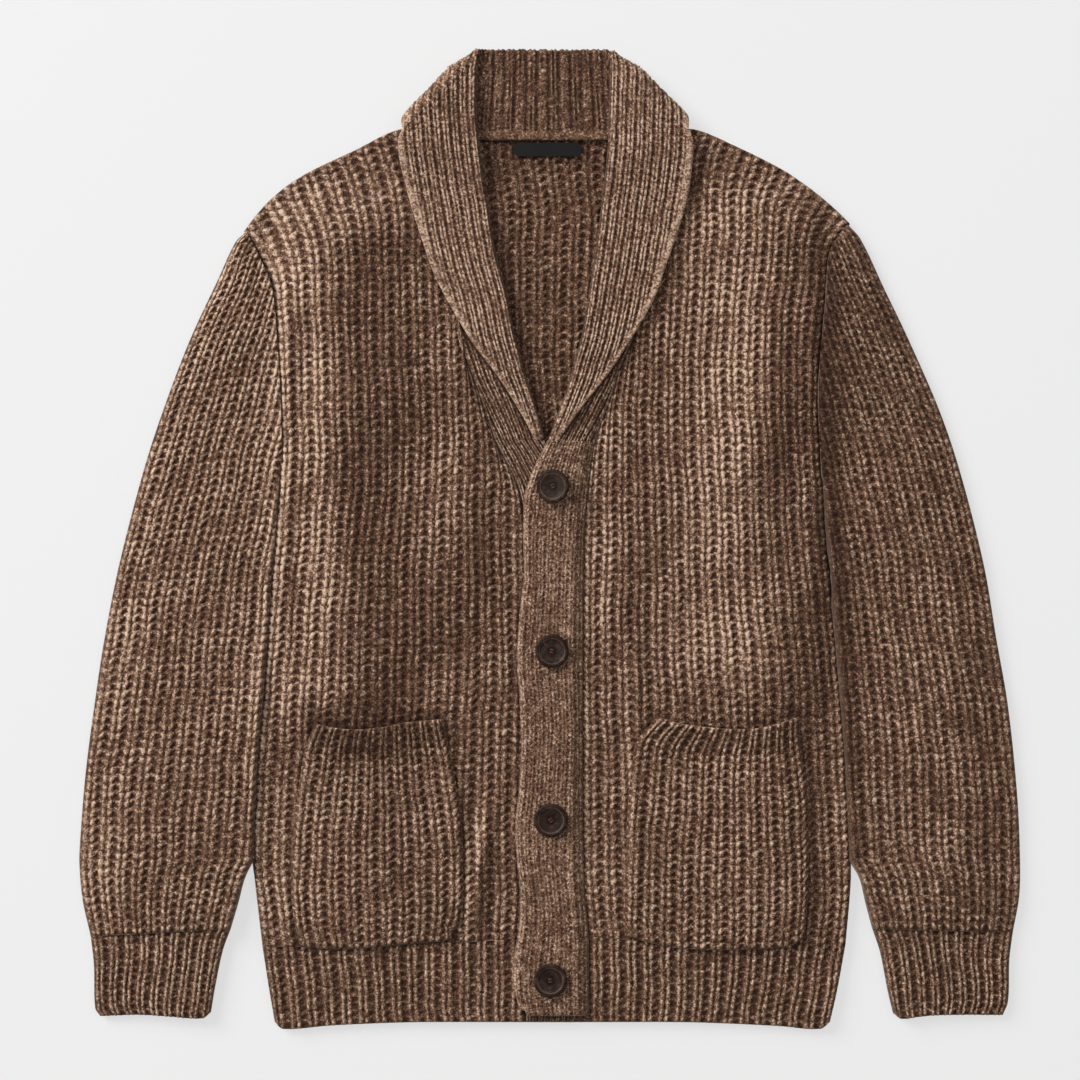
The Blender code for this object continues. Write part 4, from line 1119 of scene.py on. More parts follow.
@dataclass(kw_only=True)
class ShawlCollar(Knit):
    """The collar: one band folded over on itself, swept round the neck.

    Attributes:
        spacing: Distance between its sections, in mm.
    """

    name: str = "shawl_collar"
    flat: tuple[float, float] = (0.15, 0.78)
    held: str = "folded"
    rests_on: tuple[str, ...] = ("back", "front_left", "front_right")
    spacing: float = 1.6

    def stations(self) -> Array:
        """Rows of roll x, y, free x, y, seam x, y, height, its roll's height, turn, way out x, y."""
        left, right = (self.half(side) for side in Side)
        places = np.linspace(NAPE_LEFT, NAPE_RIGHT, 30)[1:]
        straight = [[*self.nape(float(x)), math.pi, 0.0, 1.0] for x in places]
        return self.resampled(np.array(left + straight + right[-2::-1]))

    def half(self, side: Side) -> list[list[float]]:
        """One side's sections, from the foot of the V up and over the shoulder to the stand."""
        rows = [[*row, 0.0, *TURN_OUT[side]] for row in smooth(LAPEL[side], 6)]
        last = LAPEL[side][-1]
        roll, free = np.array(last[0:2]), np.array(last[2:4])
        for k in range(1, 17):
            turn = math.pi * k / 16
            cut = free + (roll - free) / np.linalg.norm(roll - free) * TURN_CUT * turn
            height = TURN_HEIGHT + TURN_RADIUS * math.cos(turn)
            rows.append([*roll, *cut, *last[4:6], height, TURN_HEIGHT, turn, *TURN_OUT[side]])
        end = self.nape(NAPE_LEFT if side is LEFT else NAPE_RIGHT)
        behind = smooth([rows[-1][:8], *BEHIND[side], end], 6)[1:]
        return rows + [[*row, math.pi, *TURN_OUT[side]] for row in behind]

    @staticmethod
    def nape(x: float) -> tuple[float, ...]:
        """Roll, free edge, seam and heights behind the neck at x."""
        fan = NAPE_MIDDLE + (x - NAPE_MIDDLE) * NAPE_FAN
        return (x, NAPE_ROLL, fan, NAPE_FREE, fan, NAPE_SEAM, BEHIND_HEIGHT, BEHIND_HEIGHT)

    def resampled(self, rows: Array) -> Array:
        """The same sections at an even spacing along the fall's middle."""
        middle = 0.5 * (rows[:, 0:2] + rows[:, 2:4])
        middle = middle + rows[:, 9:11] * (TURN_RADIUS * np.sin(rows[:, 8]))[:, None]
        place = np.concatenate([middle, rows[:, 6:7]], axis=1)
        marks = np.concatenate([[0.0], np.cumsum(np.linalg.norm(np.diff(place, axis=0), axis=1))])
        want = np.linspace(0.0, marks[-1], int(marks[-1] / self.spacing) + 1)
        rows = np.stack([np.interp(want, marks, rows[:, n]) for n in range(rows.shape[1])], axis=-1)
        weights = np.exp(-((np.arange(-12, 13) / 5.5) ** 2))
        weights /= weights.sum()
        padded = np.pad(rows[:, 0:6], ((12, 12), (0, 0)), mode="edge")
        soft = np.stack([np.convolve(padded[:, n], weights, mode="valid") for n in range(6)], axis=-1)
        share = ease((rows[:, 1:2] - 335.0) / 25.0)
        rows[:, 0:6] = soft * share + rows[:, 0:6] * (1 - share)
        return rows

    @staticmethod
    def section(width: float, stand: float) -> tuple[Array, Array, Array, Array]:
        """The section of a folded band.

        Args:
            width: From the roll to the free edge, in mm.
            stand: From the roll to the seam, in mm.

        Returns:
            Distance from the roll, height over the middle, outward way and part (0 the fall's
            face, 1 a hidden side, 2 the stand's inner face, 3 its outer face) of each point.
        """
        thick = HALF_GAP + LAYER
        half = 0.5 * math.pi
        parts: list[tuple[Array, Array, Array]] = []
        kinds: list[float] = []

        def straight(start: float, end: float, rise: float, up: float, count: int, part: float) -> None:
            """Adds a level stretch from one reach to another."""
            reach = np.linspace(start, end, count + 1)[:-1]
            ways = np.stack([np.zeros(count), np.full(count, up)], axis=-1)
            parts.append((reach, np.full(count, rise), ways))
            kinds.extend([part] * count)

        def arc(
            x: float, z: float, wide: float, high: float, turns: tuple[float, float], part: float
        ) -> None:
            """Adds a round stretch about x and z, with its two radii and its first and last turn."""
            turn = np.linspace(*turns, 7)[:-1]
            ways = np.stack([np.cos(turn), np.sin(turn)], axis=-1)
            parts.append((x + wide * ways[:, 0], z + high * ways[:, 1], ways))
            kinds.extend([part] * 6)

        cap = min(ROLL_DEPTH, 0.5 * width)
        tip = min(2.2, 0.25 * width)
        arc(cap, 0.0, cap, thick, (2 * half, half), 0.0)
        straight(cap, width - tip, thick, 1.0, 64, 0.0)
        arc(width - tip, HALF_GAP + 0.5 * LAYER, tip, 0.5 * LAYER, (half, -half), 0.0)
        straight(width - tip, ROLL_DEPTH + 0.5, HALF_GAP, -1.0, 4, 1.0)
        straight(ROLL_DEPTH + 0.2, stand - 1.6, -HALF_GAP, 1.0, 48, 2.0)
        arc(stand - 1.6, -HALF_GAP - 0.5 * LAYER, 1.6, 0.5 * LAYER, (half, -half), 3.0)
        straight(stand - 1.6, ROLL_DEPTH, -thick, -1.0, 46, 3.0)
        arc(ROLL_DEPTH, 0.0, ROLL_DEPTH, thick, (-half, -2 * half), 3.0)
        reach, rise, ways = (np.concatenate([p[n] for p in parts]) for n in range(3))
        return reach, rise, ways, np.array(kinds)

    def make(self, finish: "Finish") -> None:
        """Builds the collar, rides it on the frame and hides its solid."""
        rings = [self.ring(row) for row in self.stations()]
        cloth = Cloth(self.name + "_knit")
        indices = cloth.add(*(np.array([ring[n] for ring in rings]) for n in range(3)))
        cloth.quads(indices, closed=True)
        cloth.face(indices[0])
        cloth.face(indices[-1][::-1])
        self.declare(cloth.build(finish))

    def ring(self, row: Array) -> tuple[Array, Array, Array]:
        """One section's points, their ribs and rows, and their height shares times their painted light and
        shade.
        """
        roll, free, seam, out = row[0:2], row[2:4], row[4:6], row[9:11]
        height, start, turn = row[6], row[7], row[8]
        width, stand = float(np.linalg.norm(free - roll)), float(np.linalg.norm(seam - roll))
        reach, rise, way, part = self.section(width, stand)
        left = roll[0] < NAPE_MIDDLE and roll[1] > 100.0 or row[4] < 0.0
        side = LEFT if left else RIGHT
        across = np.where((part <= 1.0)[:, None], (free - roll) / width, (seam - roll) / stand)
        length = MELT_LENGTH[LEFT if row[4] < 0.0 else RIGHT]
        melt = 0.1 + 0.9 * float(ease(np.array((roll[1] - MELT_FOOT) / length)))
        rise = np.where((part == 0.0) & (rise > 0.0), rise * melt, rise)
        clear = ease((reach - ROLL_DEPTH) / TURN_REACH)
        bulge = TURN_RADIUS * clear
        flatly = roll + across * reach[:, None]
        unrolled = flatly + out * (turn * (bulge + rise))[:, None]
        form, knit = self.knitted(unrolled, reach, part, width, stand, turn, side)
        depth = (COLLAR_KNIT.high - COLLAR_KNIT.low) * (1 - form) * np.where(part == 1.0, 0.0, 1.0)
        depth = depth * np.where(part < 2.0, min(1.0, width / 20.0), 1.2) * np.where(part == 0.0, melt, 1.0)
        depth = depth * np.where((part == 3.0) & (turn < 2.0), 0.0, 1.0)
        depth = depth * np.where((part == 0.0) & (turn > 2.6) & (reach > ROLL_DEPTH), 0.3, 1.0)
        reach = reach - depth * way[:, 0]
        rise = rise - depth * way[:, 1]
        flatly = roll + across * reach[:, None] + out * (math.sin(turn) * (rise + bulge))[:, None]
        z = start + (height - start) * clear + rise * math.cos(turn)
        rest = LAPEL[LEFT][0][6]
        if turn == 0.0 and roll[1] < 200.0 and not left and height > rest:
            fall_in = ease((reach - stand + OVER_SLOPE) / (OVER_SLOPE - 1.0))
            z = z - np.where(part >= 2.0, (height - rest) * fall_in, 0.0)
        points = np.concatenate([flatly, z[:, None]], axis=-1)
        # Painted light and shade, in the colour only: the lapels painted lighter, the inner face darker, and
        # the stand behind the neck darkest.
        tone = np.where(part == 3.0, NAPE_KNIT.tone, COLLAR_KNIT.tone)
        tone = np.where(part == 2.0, COLLAR_KNIT.tone - STAND_TONE, tone)
        form = np.where(part >= 2.0, 1.12 * np.abs(form) ** 1.9, form)
        return points, knit, form * tone

    @staticmethod
    def knitted(
        place: Array, reach: Array, part: Array, width: float, stand: float, turn: float, side: Side
    ) -> tuple[Array, Array]:
        """Height shares, and ribs and rows, of a section's points.

        Args:
            place: The points on the collar laid out flat.
            reach: Their distance from the roll.
            part: Which side of the band they are on.
            width: From the roll to the free edge.
            stand: From the roll to the seam.
            turn: How far the section has gone over the shoulder.
            side: Which side it is on.

        Returns:
            The height shares, and the ribs and rows.
        """
        table = smooth(LAPEL[side], 6)
        x, y = place[:, 0], place[:, 1]
        edge_x = np.interp(y, table[:, 1], table[:, 0])
        slope = np.interp(y, table[1:, 1], np.diff(table[:, 0]) / np.maximum(np.diff(table[:, 1]), 0.1))
        slope = np.where(y > table[-1, 1] - 8.0, 0.0, slope)
        pitch = np.interp(y, [77.0, 130.0, 190.0, 290.0], [5.0, 6.4, 6.9, 7.3])
        lapel_rib = side.sign * (x - edge_x) / pitch
        run = np.interp(y, table[:, 1], running(table)) + np.maximum(y - table[-1, 1], 0.0)
        lapel_row = (run + (x - edge_x) * slope / np.sqrt(1 + slope**2)) / COLLAR_KNIT.course
        lapel = COLLAR_KNIT.form(lapel_rib, lapel_row)
        fan = 1 + (NAPE_FAN - 1) * np.clip((NAPE_ROLL - y) / (NAPE_ROLL - NAPE_SEAM), 0.0, 1.0)
        nape_rib = (NAPE_MIDDLE + (x - NAPE_MIDDLE) / fan - NAPE_LEFT) / NAPE_PITCH
        nape_row = reach / NAPE_KNIT.course
        nape = NAPE_KNIT.form(nape_rib, nape_row)
        near_edge = np.where(part == 0.0, ease((width - reach - 0.05 * width) / 6.0), 1.0)
        lapel = 0.74 * (1 - near_edge) + lapel * near_edge
        linked = np.where(part == 3.0, ease((stand - 7.0 - reach) / 1.5), 1.0)
        nape = 0.80 * (1 - linked) + nape * linked
        # Beside the fall's free edge the stand's inner face sinks to a groove's bottom, which also paints a
        # dark line there: painted shade under the fall's edge, partly real depth.
        inner = np.where(part == 2.0, ease((reach - width + 3.0) / 2.0), 1.0)
        beside = np.where(part == 2.0, ease((reach - width - 0.6) / 2.2), 1.0)
        lapel = 1 - inner * (1 - lapel * beside)
        behind = float(ease(np.array((turn - 2.2) / 0.8)))
        share = np.where(part == 3.0, 1.0, np.where(part == 0.0, behind, 0.0))
        cap = ease(1.0 - reach / ROLL_DEPTH)
        share = np.where((part == 3.0) & (turn < 2.0), 1.0 - cap, share)
        form = lapel * (1 - share) + nape * share
        knit = [np.where(share > 0.5, a, b) for a, b in ((nape_rib, lapel_rib), (nape_row, lapel_row))]
        return form, np.stack(knit, axis=-1)


# Small pieces.


@dataclass
class Button:
    """A turned button: a rounded rim, a dished middle, four holes and the thread in them.

    Attributes:
        number: Its place in the row, from the top.
        x: Across, in mm.
        y: Along, in mm.
        tilt: How far it leans, in degrees.
        spin: How far its holes are turned, in degrees.
        sides: Points round it.
        hole_ring: The holes' distance from its middle, in mm.
        hole_radius: A hole's radius, in mm.
        strands: Where the threads cross, as shares of the holes' spacing.
        thread_radius: A thread's radius, in mm.
    """

    number: int
    x: float
    y: float
    tilt: float
    spin: float
    sides: int = 72
    hole_ring: float = 2.1
    hole_radius: float = 0.95
    strands: tuple[float, ...] = (-1.15, -0.6, 0.6, 1.15)
    thread_radius: float = 0.36

    def placed(self, points: Array) -> Array:
        """Points of the button where it lies, from its own upright ones."""
        lean, spin = math.radians(self.tilt), math.radians(self.spin)
        x = points[..., 0] * math.cos(spin) - points[..., 1] * math.sin(spin)
        y = points[..., 0] * math.sin(spin) + points[..., 1] * math.cos(spin)
        seat = OVER_TOP + GAP + (BUTTON_TILT_LIFT if self.tilt else 0.0)
        z = points[..., 2]
        across = self.x + x * math.cos(lean) - z * math.sin(lean)
        up = seat + x * math.sin(lean) + z * math.cos(lean)
        return np.stack([across, self.y + y, up], axis=-1)

    def make(self, horn: "Finish", thread: "Finish") -> None:
        """Builds the button and its thread, and rides both on the frame."""
        cloth = Cloth("button_%d_horn" % self.number)
        profile = smooth(BUTTON_TURNING, 5)
        angles = np.linspace(0.0, 2 * math.pi, self.sides, endpoint=False)
        out, up = profile[:, None, 0] * BUTTON_RADIUS, profile[:, None, 1] + 0.0 * angles
        rings = np.stack([out * np.cos(angles), out * np.sin(angles), up], axis=-1)
        cloth.pipe(self.placed(rings), np.repeat(profile[:, None, 0], self.sides, axis=1))
        thing = cloth.build(horn)
        self.drill(thing)
        only(thing)
        bpy.ops.object.shade_smooth_by_angle(angle=math.radians(40))
        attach(thing, "root")
        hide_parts("button_%d" % self.number)
        self.sew(thread)

    def drill(self, thing: bpy.types.Object) -> None:
        """Cuts the four holes."""
        for corner in range(4):
            angle = math.radians(45 + 90 * corner)
            place = (self.hole_ring * math.cos(angle), self.hole_ring * math.sin(angle), BUTTON_MIDDLE)
            spot = self.placed(np.array(place)) * MM
            radius = self.hole_radius * MM
            bpy.ops.mesh.primitive_cylinder_add(vertices=16, radius=radius, depth=4 * MM, location=spot)
            cutter = bpy.context.object
            only(thing)
            hole = thing.modifiers.new("hole", "BOOLEAN")
            hole.operation = "DIFFERENCE"
            hole.solver = "EXACT"
            hole.object = cutter
            bpy.ops.object.modifier_apply(modifier=hole.name)
            bpy.data.objects.remove(cutter, do_unlink=True)

    def sew(self, finish: "Finish") -> None:
        """Runs the thread through the holes."""
        cloth = Cloth("button_%d_thread" % self.number)
        t = np.linspace(0.0, 1.0, 9)
        around = np.linspace(0.0, 2 * math.pi, 8, endpoint=False)
        section = self.thread_radius * np.stack([0 * around, np.cos(around), np.sin(around)], axis=-1)
        for strand in self.strands:
            arch = BUTTON_MIDDLE + 0.9 * np.sin(math.pi * t) - 0.5
            centre = np.stack([-1.9 + 3.8 * t, np.full(9, strand * 1.25), arch], axis=-1)
            cloth.pipe(self.placed(centre[:, None, :] + section))
        sewn = cloth.build(finish)
        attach(sewn, "root")


@dataclass
class NeckLabel:
    """A bare woven tab with rounded ends, sewn down at both of them.

    Attributes:
        lift: Its height over the wall of the back, in mm.
        radius: Its corners' radius, in mm.
    """

    lift: float = GAP + 1.1
    radius: float = 1.6 * LABEL_CORNER

    def make(self, finish: "Finish") -> None:
        """Builds the tab and rides it on the frame."""
        cloth = Cloth("neck_label_tab")
        us, vs = np.linspace(0.0, 1.0, 57), np.linspace(0.0, 1.0, 13)
        x = LABEL_LEFT + (LABEL_RIGHT - LABEL_LEFT) * us[:, None] + 0 * vs
        inset = np.minimum(x - LABEL_LEFT, LABEL_RIGHT - x)
        corner = np.sqrt(np.clip(1 - (1 - np.clip(inset / self.radius, 0, 1)) ** 2, 0, 1))
        reach = 0.5 * (LABEL_TOP - LABEL_FOOT) - self.radius * (1 - corner)
        y = 0.5 * (LABEL_TOP + LABEL_FOOT) + reach * (2 * vs[None] - 1)
        bow = 0.35 * np.sin(math.pi * us[:, None]) + 0.12 * np.sin(9 * us[:, None])
        z = BACK_THICK + self.lift + bow + 0 * y
        knit = np.stack([x, y], axis=-1)
        upper = cloth.add(np.stack([x, y, z + LABEL_THICK], axis=-1), knit)
        lower = cloth.add(np.stack([x, y, z], axis=-1), knit)
        cloth.quads(upper)
        cloth.quads(lower[:, ::-1])
        ends = ((lower[0], upper[0]), (upper[-1], lower[-1]))
        for pair in ((upper[:, 0], lower[:, 0]), (lower[:, -1], upper[:, -1]), *ends):
            cloth.quads(np.stack(pair))
        thing = cloth.build(finish)
        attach(thing, "root")
        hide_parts("neck_label")


# Finishes.


@dataclass(frozen=True)
class Finish:
    """What a material looks like.

    Attributes:
        name: The material's name.
        dark: Its darkest colour.
        middle: Its usual colour.
        light: Its lightest colour.
        roughness: How dull it is.
    """

    name: str
    dark: Colour
    middle: Colour
    light: Colour
    roughness: float

    def material(self) -> bpy.types.Material:
        """The material, made once and shared."""
        found = bpy.data.materials.get(self.name)
        if found is not None:
            return found
        made = bpy.data.materials.new(self.name)
        made.use_nodes = True
        self.dress(Nodes(made.node_tree))
        return made

    def dress(self, nodes: "Nodes") -> None:
        """Sets up the shader."""
        raise NotImplementedError

    def colours(self, *places: float) -> list[tuple[float, Colour]]:
        """A ramp's stops: its three colours at these places."""
        return list(zip(places, (self.dark, self.middle, self.light)))


@dataclass
class Nodes:
    """Short ways to add shader nodes to a tree."""

    tree: bpy.types.NodeTree

    def add(self, kind: str, **settings: Any) -> bpy.types.Node:
        """A node of this kind.

        Args:
            kind: Its type name.
            settings: Properties, or inputs by name with spaces as underscores.

        Returns:
            The node.
        """
        node = self.tree.nodes.new(kind)
        for name, value in settings.items():
            if hasattr(node, name):
                setattr(node, name, value)
            else:
                node.inputs[name.replace("_", " ")].default_value = value
        return node

    def link(self, source: Socket, target: Socket) -> None:
        """Joins two sockets."""
        self.tree.links.new(source, target)

    def math(self, operation: str, *values: Any) -> Socket:
        """A math node of numbers and sockets, and its result."""
        node = self.tree.nodes.new("ShaderNodeMath")
        node.operation = operation
        for target, value in zip(node.inputs, values):
            self.put(target, value)
        return node.outputs[0]

    def put(self, target: Socket, value: Any) -> None:
        """Gives an input a socket to follow, or a value."""
        if isinstance(value, Socket):
            self.link(value, target)
        else:
            target.default_value = value

    def noise(self, place: Socket, **settings: float) -> Socket:
        """A noise texture over a place, and its value."""
        node = self.add("ShaderNodeTexNoise", **settings)
        self.link(place, node.inputs["Vector"])
        return node.outputs["Fac"]

    def ramp(self, value: Socket, stops: Sequence[tuple[float, Colour]]) -> Socket:
        """A colour ramp over a value."""
        node = self.tree.nodes.new("ShaderNodeValToRGB")
        elements = node.color_ramp.elements
        while len(elements) < len(stops):
            elements.new(0.5)
        for element, (place, colour) in zip(elements, stops):
            element.position = place
            element.color = (*colour, 1.0)
        self.link(value, node.inputs[0])
        return node.outputs[0]

    def bump(self, height: Socket, strength: float, distance: float) -> Socket:
        """A surface bumped by a height."""
        node = self.add("ShaderNodeBump", Strength=strength, Distance=distance)
        self.link(height, node.inputs["Height"])
        return node.outputs[0]

    def surface(self, **inputs: Any) -> None:
        """Sets the shader's inputs, by name with spaces as underscores."""
        shader = self.tree.nodes["Principled BSDF"]
        for name, value in inputs.items():
            self.put(shader.inputs[name.replace("_", " ")], value)


@dataclass(frozen=True)
class WoolFinish(Finish):
    """Marled wool: light and dark plies, with painted shade down in the grooves and painted light on the
    crests, and a soft fuzz.
    """

    def dress(self, nodes: Nodes) -> None:
        """Sets up the shader."""
        form = nodes.add("ShaderNodeAttribute", attribute_name="form").outputs["Fac"]
        place = nodes.add("ShaderNodeTexCoord").outputs["Object"]
        split = nodes.add("ShaderNodeSeparateXYZ")
        nodes.link(nodes.add("ShaderNodeUVMap", uv_map="knit").outputs["UV"], split.inputs[0])
        rib, row = split.outputs[0], split.outputs[1]
        cell = nodes.add("ShaderNodeCombineXYZ")
        nodes.link(nodes.math("FLOOR", nodes.math("MULTIPLY", rib, 2.0)), cell.inputs[0])
        nodes.link(nodes.math("FLOOR", row), cell.inputs[1])
        chance = nodes.add("ShaderNodeTexWhiteNoise", noise_dimensions="3D")
        nodes.link(cell.outputs[0], chance.inputs["Vector"])
        fibre = nodes.noise(place, Scale=640.0, Detail=3.0, Roughness=0.7)
        fleck = nodes.noise(place, Scale=250.0, Detail=2.0, Roughness=0.6)
        drift = nodes.noise(place, Scale=14.0, Detail=2.0, Roughness=0.5)
        # Painted light and shade: the colour follows the height share, dark in the grooves and light on the
        # crests, times the painted light and shade of its piece.
        value = nodes.math("MULTIPLY_ADD", form, 0.60, 0.01)
        value = nodes.math("MULTIPLY_ADD", chance.outputs["Value"], 0.12, value)
        for noise, weight in ((fibre, 2.2), (fleck, 1.0), (drift, 0.16)):
            value = nodes.math("MULTIPLY_ADD", nodes.math("SUBTRACT", noise, 0.5), weight, value)
        twist = nodes.math("MULTIPLY", row, 4.0)
        twist = nodes.math("MULTIPLY_ADD", nodes.math("PINGPONG", rib, 0.5), 9.0, twist)
        ply = nodes.math("SINE", nodes.math("MULTIPLY", twist, 6.2832))
        height = nodes.math("MULTIPLY_ADD", ply, 0.12, nodes.math("MULTIPLY", fibre, 0.9))
        nodes.surface(
            Base_Color=nodes.ramp(value, self.colours(0.08, 0.48, 0.92)),
            Normal=nodes.bump(height, 0.55, 0.0008),
            Roughness=self.roughness,
            Sheen_Weight=0.30,
            Sheen_Roughness=0.45,
            Sheen_Tint=(0.75, 0.62, 0.50, 1.0),
            Specular_IOR_Level=0.15,
        )


@dataclass(frozen=True)
class HornFinish(Finish):
    """Polished dark horn with faint clouds, a lighter ring near the rim and a darker hub."""

    def dress(self, nodes: Nodes) -> None:
        """Sets up the shader."""
        place = nodes.add("ShaderNodeTexCoord").outputs["Object"]
        cloud = nodes.noise(place, Scale=160.0, Detail=4.0, Distortion=1.2)
        form = nodes.add("ShaderNodeAttribute", attribute_name="form").outputs["Fac"]
        ring = nodes.math("ABSOLUTE", nodes.math("SUBTRACT", form, 0.76))
        ring = nodes.math("MAXIMUM", nodes.math("MULTIPLY_ADD", ring, -22.0, 1.0), 0.0)
        hub = nodes.math("MAXIMUM", nodes.math("MULTIPLY_ADD", form, -4.0, 1.4), 0.0)
        value = nodes.math("MULTIPLY_ADD", ring, 0.55, cloud)
        value = nodes.math("SUBTRACT", value, nodes.math("MULTIPLY", hub, 0.4))
        grain = nodes.noise(place, Scale=1400.0, Detail=2.0)
        nodes.surface(
            Base_Color=nodes.ramp(value, self.colours(0.3, 0.55, 0.95)),
            Roughness=nodes.math("MULTIPLY_ADD", grain, 0.14, self.roughness),
            Coat_Weight=0.02,
            Coat_Roughness=0.30,
            Specular_IOR_Level=0.10,
        )


@dataclass(frozen=True)
class WovenFinish(Finish):
    """Satin ribbon or thread: fine threads both ways."""

    def dress(self, nodes: Nodes) -> None:
        """Sets up the shader."""
        split = nodes.add("ShaderNodeSeparateXYZ")
        nodes.link(nodes.add("ShaderNodeTexCoord").outputs["Object"], split.inputs[0])
        warp = nodes.math("SINE", nodes.math("MULTIPLY", split.outputs[0], 9000.0))
        weft = nodes.math("SINE", nodes.math("MULTIPLY", split.outputs[1], 14000.0))
        weave = nodes.math("MULTIPLY_ADD", warp, 0.25, nodes.math("MULTIPLY_ADD", weft, 0.25, 0.5))
        nodes.surface(
            Base_Color=nodes.ramp(weave, self.colours(0.0, 0.5, 1.0)),
            Normal=nodes.bump(weave, 0.3, 0.0002),
            Roughness=self.roughness,
            Specular_IOR_Level=0.2,
        )


WOOL = WoolFinish("marled_wool", (0.036, 0.014, 0.008), (0.150, 0.080, 0.047), (0.530, 0.380, 0.280), 0.88)
HORN = HornFinish("polished_horn", (0.008, 0.004, 0.003), (0.020, 0.011, 0.008), (0.085, 0.050, 0.034), 0.50)
RIBBON = WovenFinish("satin_ribbon", (0.001,) * 3, (0.002,) * 3, (0.005,) * 3, 0.7)
THREAD = WovenFinish("sewing_thread", (0.024, 0.008, 0.005), (0.075, 0.026, 0.016), (0.13, 0.05, 0.03), 0.8)


# The garment.


@dataclass
class Cardigan:
    """All of the cardigan's pieces.

    Attributes:
        spins: How far each button's holes are turned, in degrees.
        run_on: How far the bands run on under the collar, in mm.
        tucks: How far the left and the right front's inner edges are shifted, in mm.
    """

    spins: tuple[float, ...] = (20.0, -12.0, 35.0, 8.0)
    run_on: float = 3.0
    tucks: tuple[float, float] = (1.5, -1.0)

    def make(self) -> None:
        """Builds every piece."""
        self.back()
        for side in Side:
            self.front(side)
        for side in Side:
            self.sleeve(side)
            self.cuff(side)
        self.bands()
        ShawlCollar().make(WOOL)
        for side in Side:
            self.pocket(side)
        for number, (button, spin) in enumerate(zip(BUTTONS, self.spins), start=1):
            Button(number, *button, spin).make(HORN, THREAD)
        NeckLabel().make(RIBBON)

    @staticmethod
    def body_edge(side: Side) -> Edge:
        """A side seam with the armhole over it; the underarm keeps the solids' share."""
        low, high = smooth(SIDE[side]), smooth(ARMHOLE[side])
        return Bent(np.concatenate([low, high[1:]]), split=len(low) - 1, share=UNDERARM)

    def back(self) -> None:
        """The back, finely knitted only where it shows in the neck, and its hem."""
        foot = np.concatenate([smooth(HEM_LINE[side]) for side in Side])
        neck = smooth(BACK_NECK)[1:]
        neck[:, 1] += 5.0 * ease((68.0 - np.abs(neck[:, 0] + 2.0)) / 14.0)
        top = np.concatenate([smooth(SHOULDER[LEFT]), neck, smooth(SHOULDER[RIGHT])[::-1][1:]])
        patch = Patch(Edge(foot, by_x=True), Edge(top), self.body_edge(LEFT), self.body_edge(RIGHT))
        middle = np.arange(12 * FINE, 23 * FINE + 1) / (BACK_RIBS * FINE)
        aside = np.linspace(0.0, middle[0], 37)[:-1]
        us = np.concatenate([aside, middle, 1.0 - np.linspace(0.0, 1.0 - middle[-1], 34)[::-1][1:]])
        marks = np.concatenate([np.arange(0.0, 370.0, 12.0), np.arange(370.0, LONGEST, 1.8)])
        cut = {"name": "back", "flat": (0.486, 0.655), "area": 0.290}
        Panel(patch, BACK_RIBS, BACK_KNIT, us, marks, level(0.0), **cut).make(WOOL)
        hem_foot = np.concatenate([smooth(HEM_FOOT[side]) for side in Side])
        hem_foot[:, 1] -= 1.6 * np.exp(-(((hem_foot[:, 0] - 6.0) / 34.0) ** 2))
        line = Edge(foot - np.array([0.0, GAP]), by_x=True)
        hem = Patch(Edge(hem_foot), line, *(Edge(smooth(HEM_SIDE[side])[::-1]) for side in Side))
        us, marks = even(BACK_RIBS, 6), np.arange(0.0, 90.0, 5.0)
        cut = {"name": "hem_back", "flat": (0.47, 0.066)}
        Panel(hem, BACK_RIBS, BACK_KNIT, us, marks, level(0.0), **cut).make(WOOL)

    def front(self, side: Side) -> None:
        """A front and its hem."""
        tuck = self.tucks[0] if side is LEFT else self.tucks[1]
        neck = smooth(NECK_EDGE[side])
        neck = neck + np.array([tuck, 0.0]) * ease(np.arange(len(neck)) / 20.0)[:, None]
        top = np.concatenate([smooth(SHOULDER[side]), neck[1:]])
        top = top if side is LEFT else top[::-1]
        foot, inside = smooth(HEM_LINE[side]), smooth(INNER[side])
        inner = Edge(inside + np.array([tuck, 0.0]) * ease((inside[:, 1] + 320.0) / 40.0)[:, None])
        patch = Patch(Edge(foot), Edge(top, by_x=True), *side.ordered(self.body_edge(side), inner))
        us, marks = even(FRONT_RIBS, FINE), np.arange(0.0, LONGEST, 1.5)
        rounds = (*side.ordered(1.0, 2.0), 0.0, 2.4)
        cut = {"name": "front_" + side.value, "flat": (0.215, 0.655), "area": 0.125, "rests_on": ("back",)}
        cut["painted_shades"] = self.front_painted_shades(side)
        Panel(patch, FRONT_RIBS, BODY_KNIT, us, marks, front_base, rounds, **cut).make(WOOL)
        hem_foot = smooth(HEM_FOOT[side])
        hem_side = Edge(smooth(HEM_SIDE[side])[::-1])
        end = -1 if side is LEFT else 0
        hem_inner = Edge(np.stack([hem_foot[end], foot[end]]))
        hem = Patch(Edge(hem_foot), Edge(foot), *side.ordered(hem_side, hem_inner))
        marks, rounds = np.arange(0.0, 90.0, 1.3), (2.4, 2.4, 3.0, 0.0)
        cut = {"name": "hem_" + side.value, "flat": (0.20, 0.066), "rests_on": ("hem_back",)}
        Panel(hem, FRONT_RIBS, HEM_KNIT, us, marks, level(FRONT_BASE), rounds, **cut).make(WOOL)

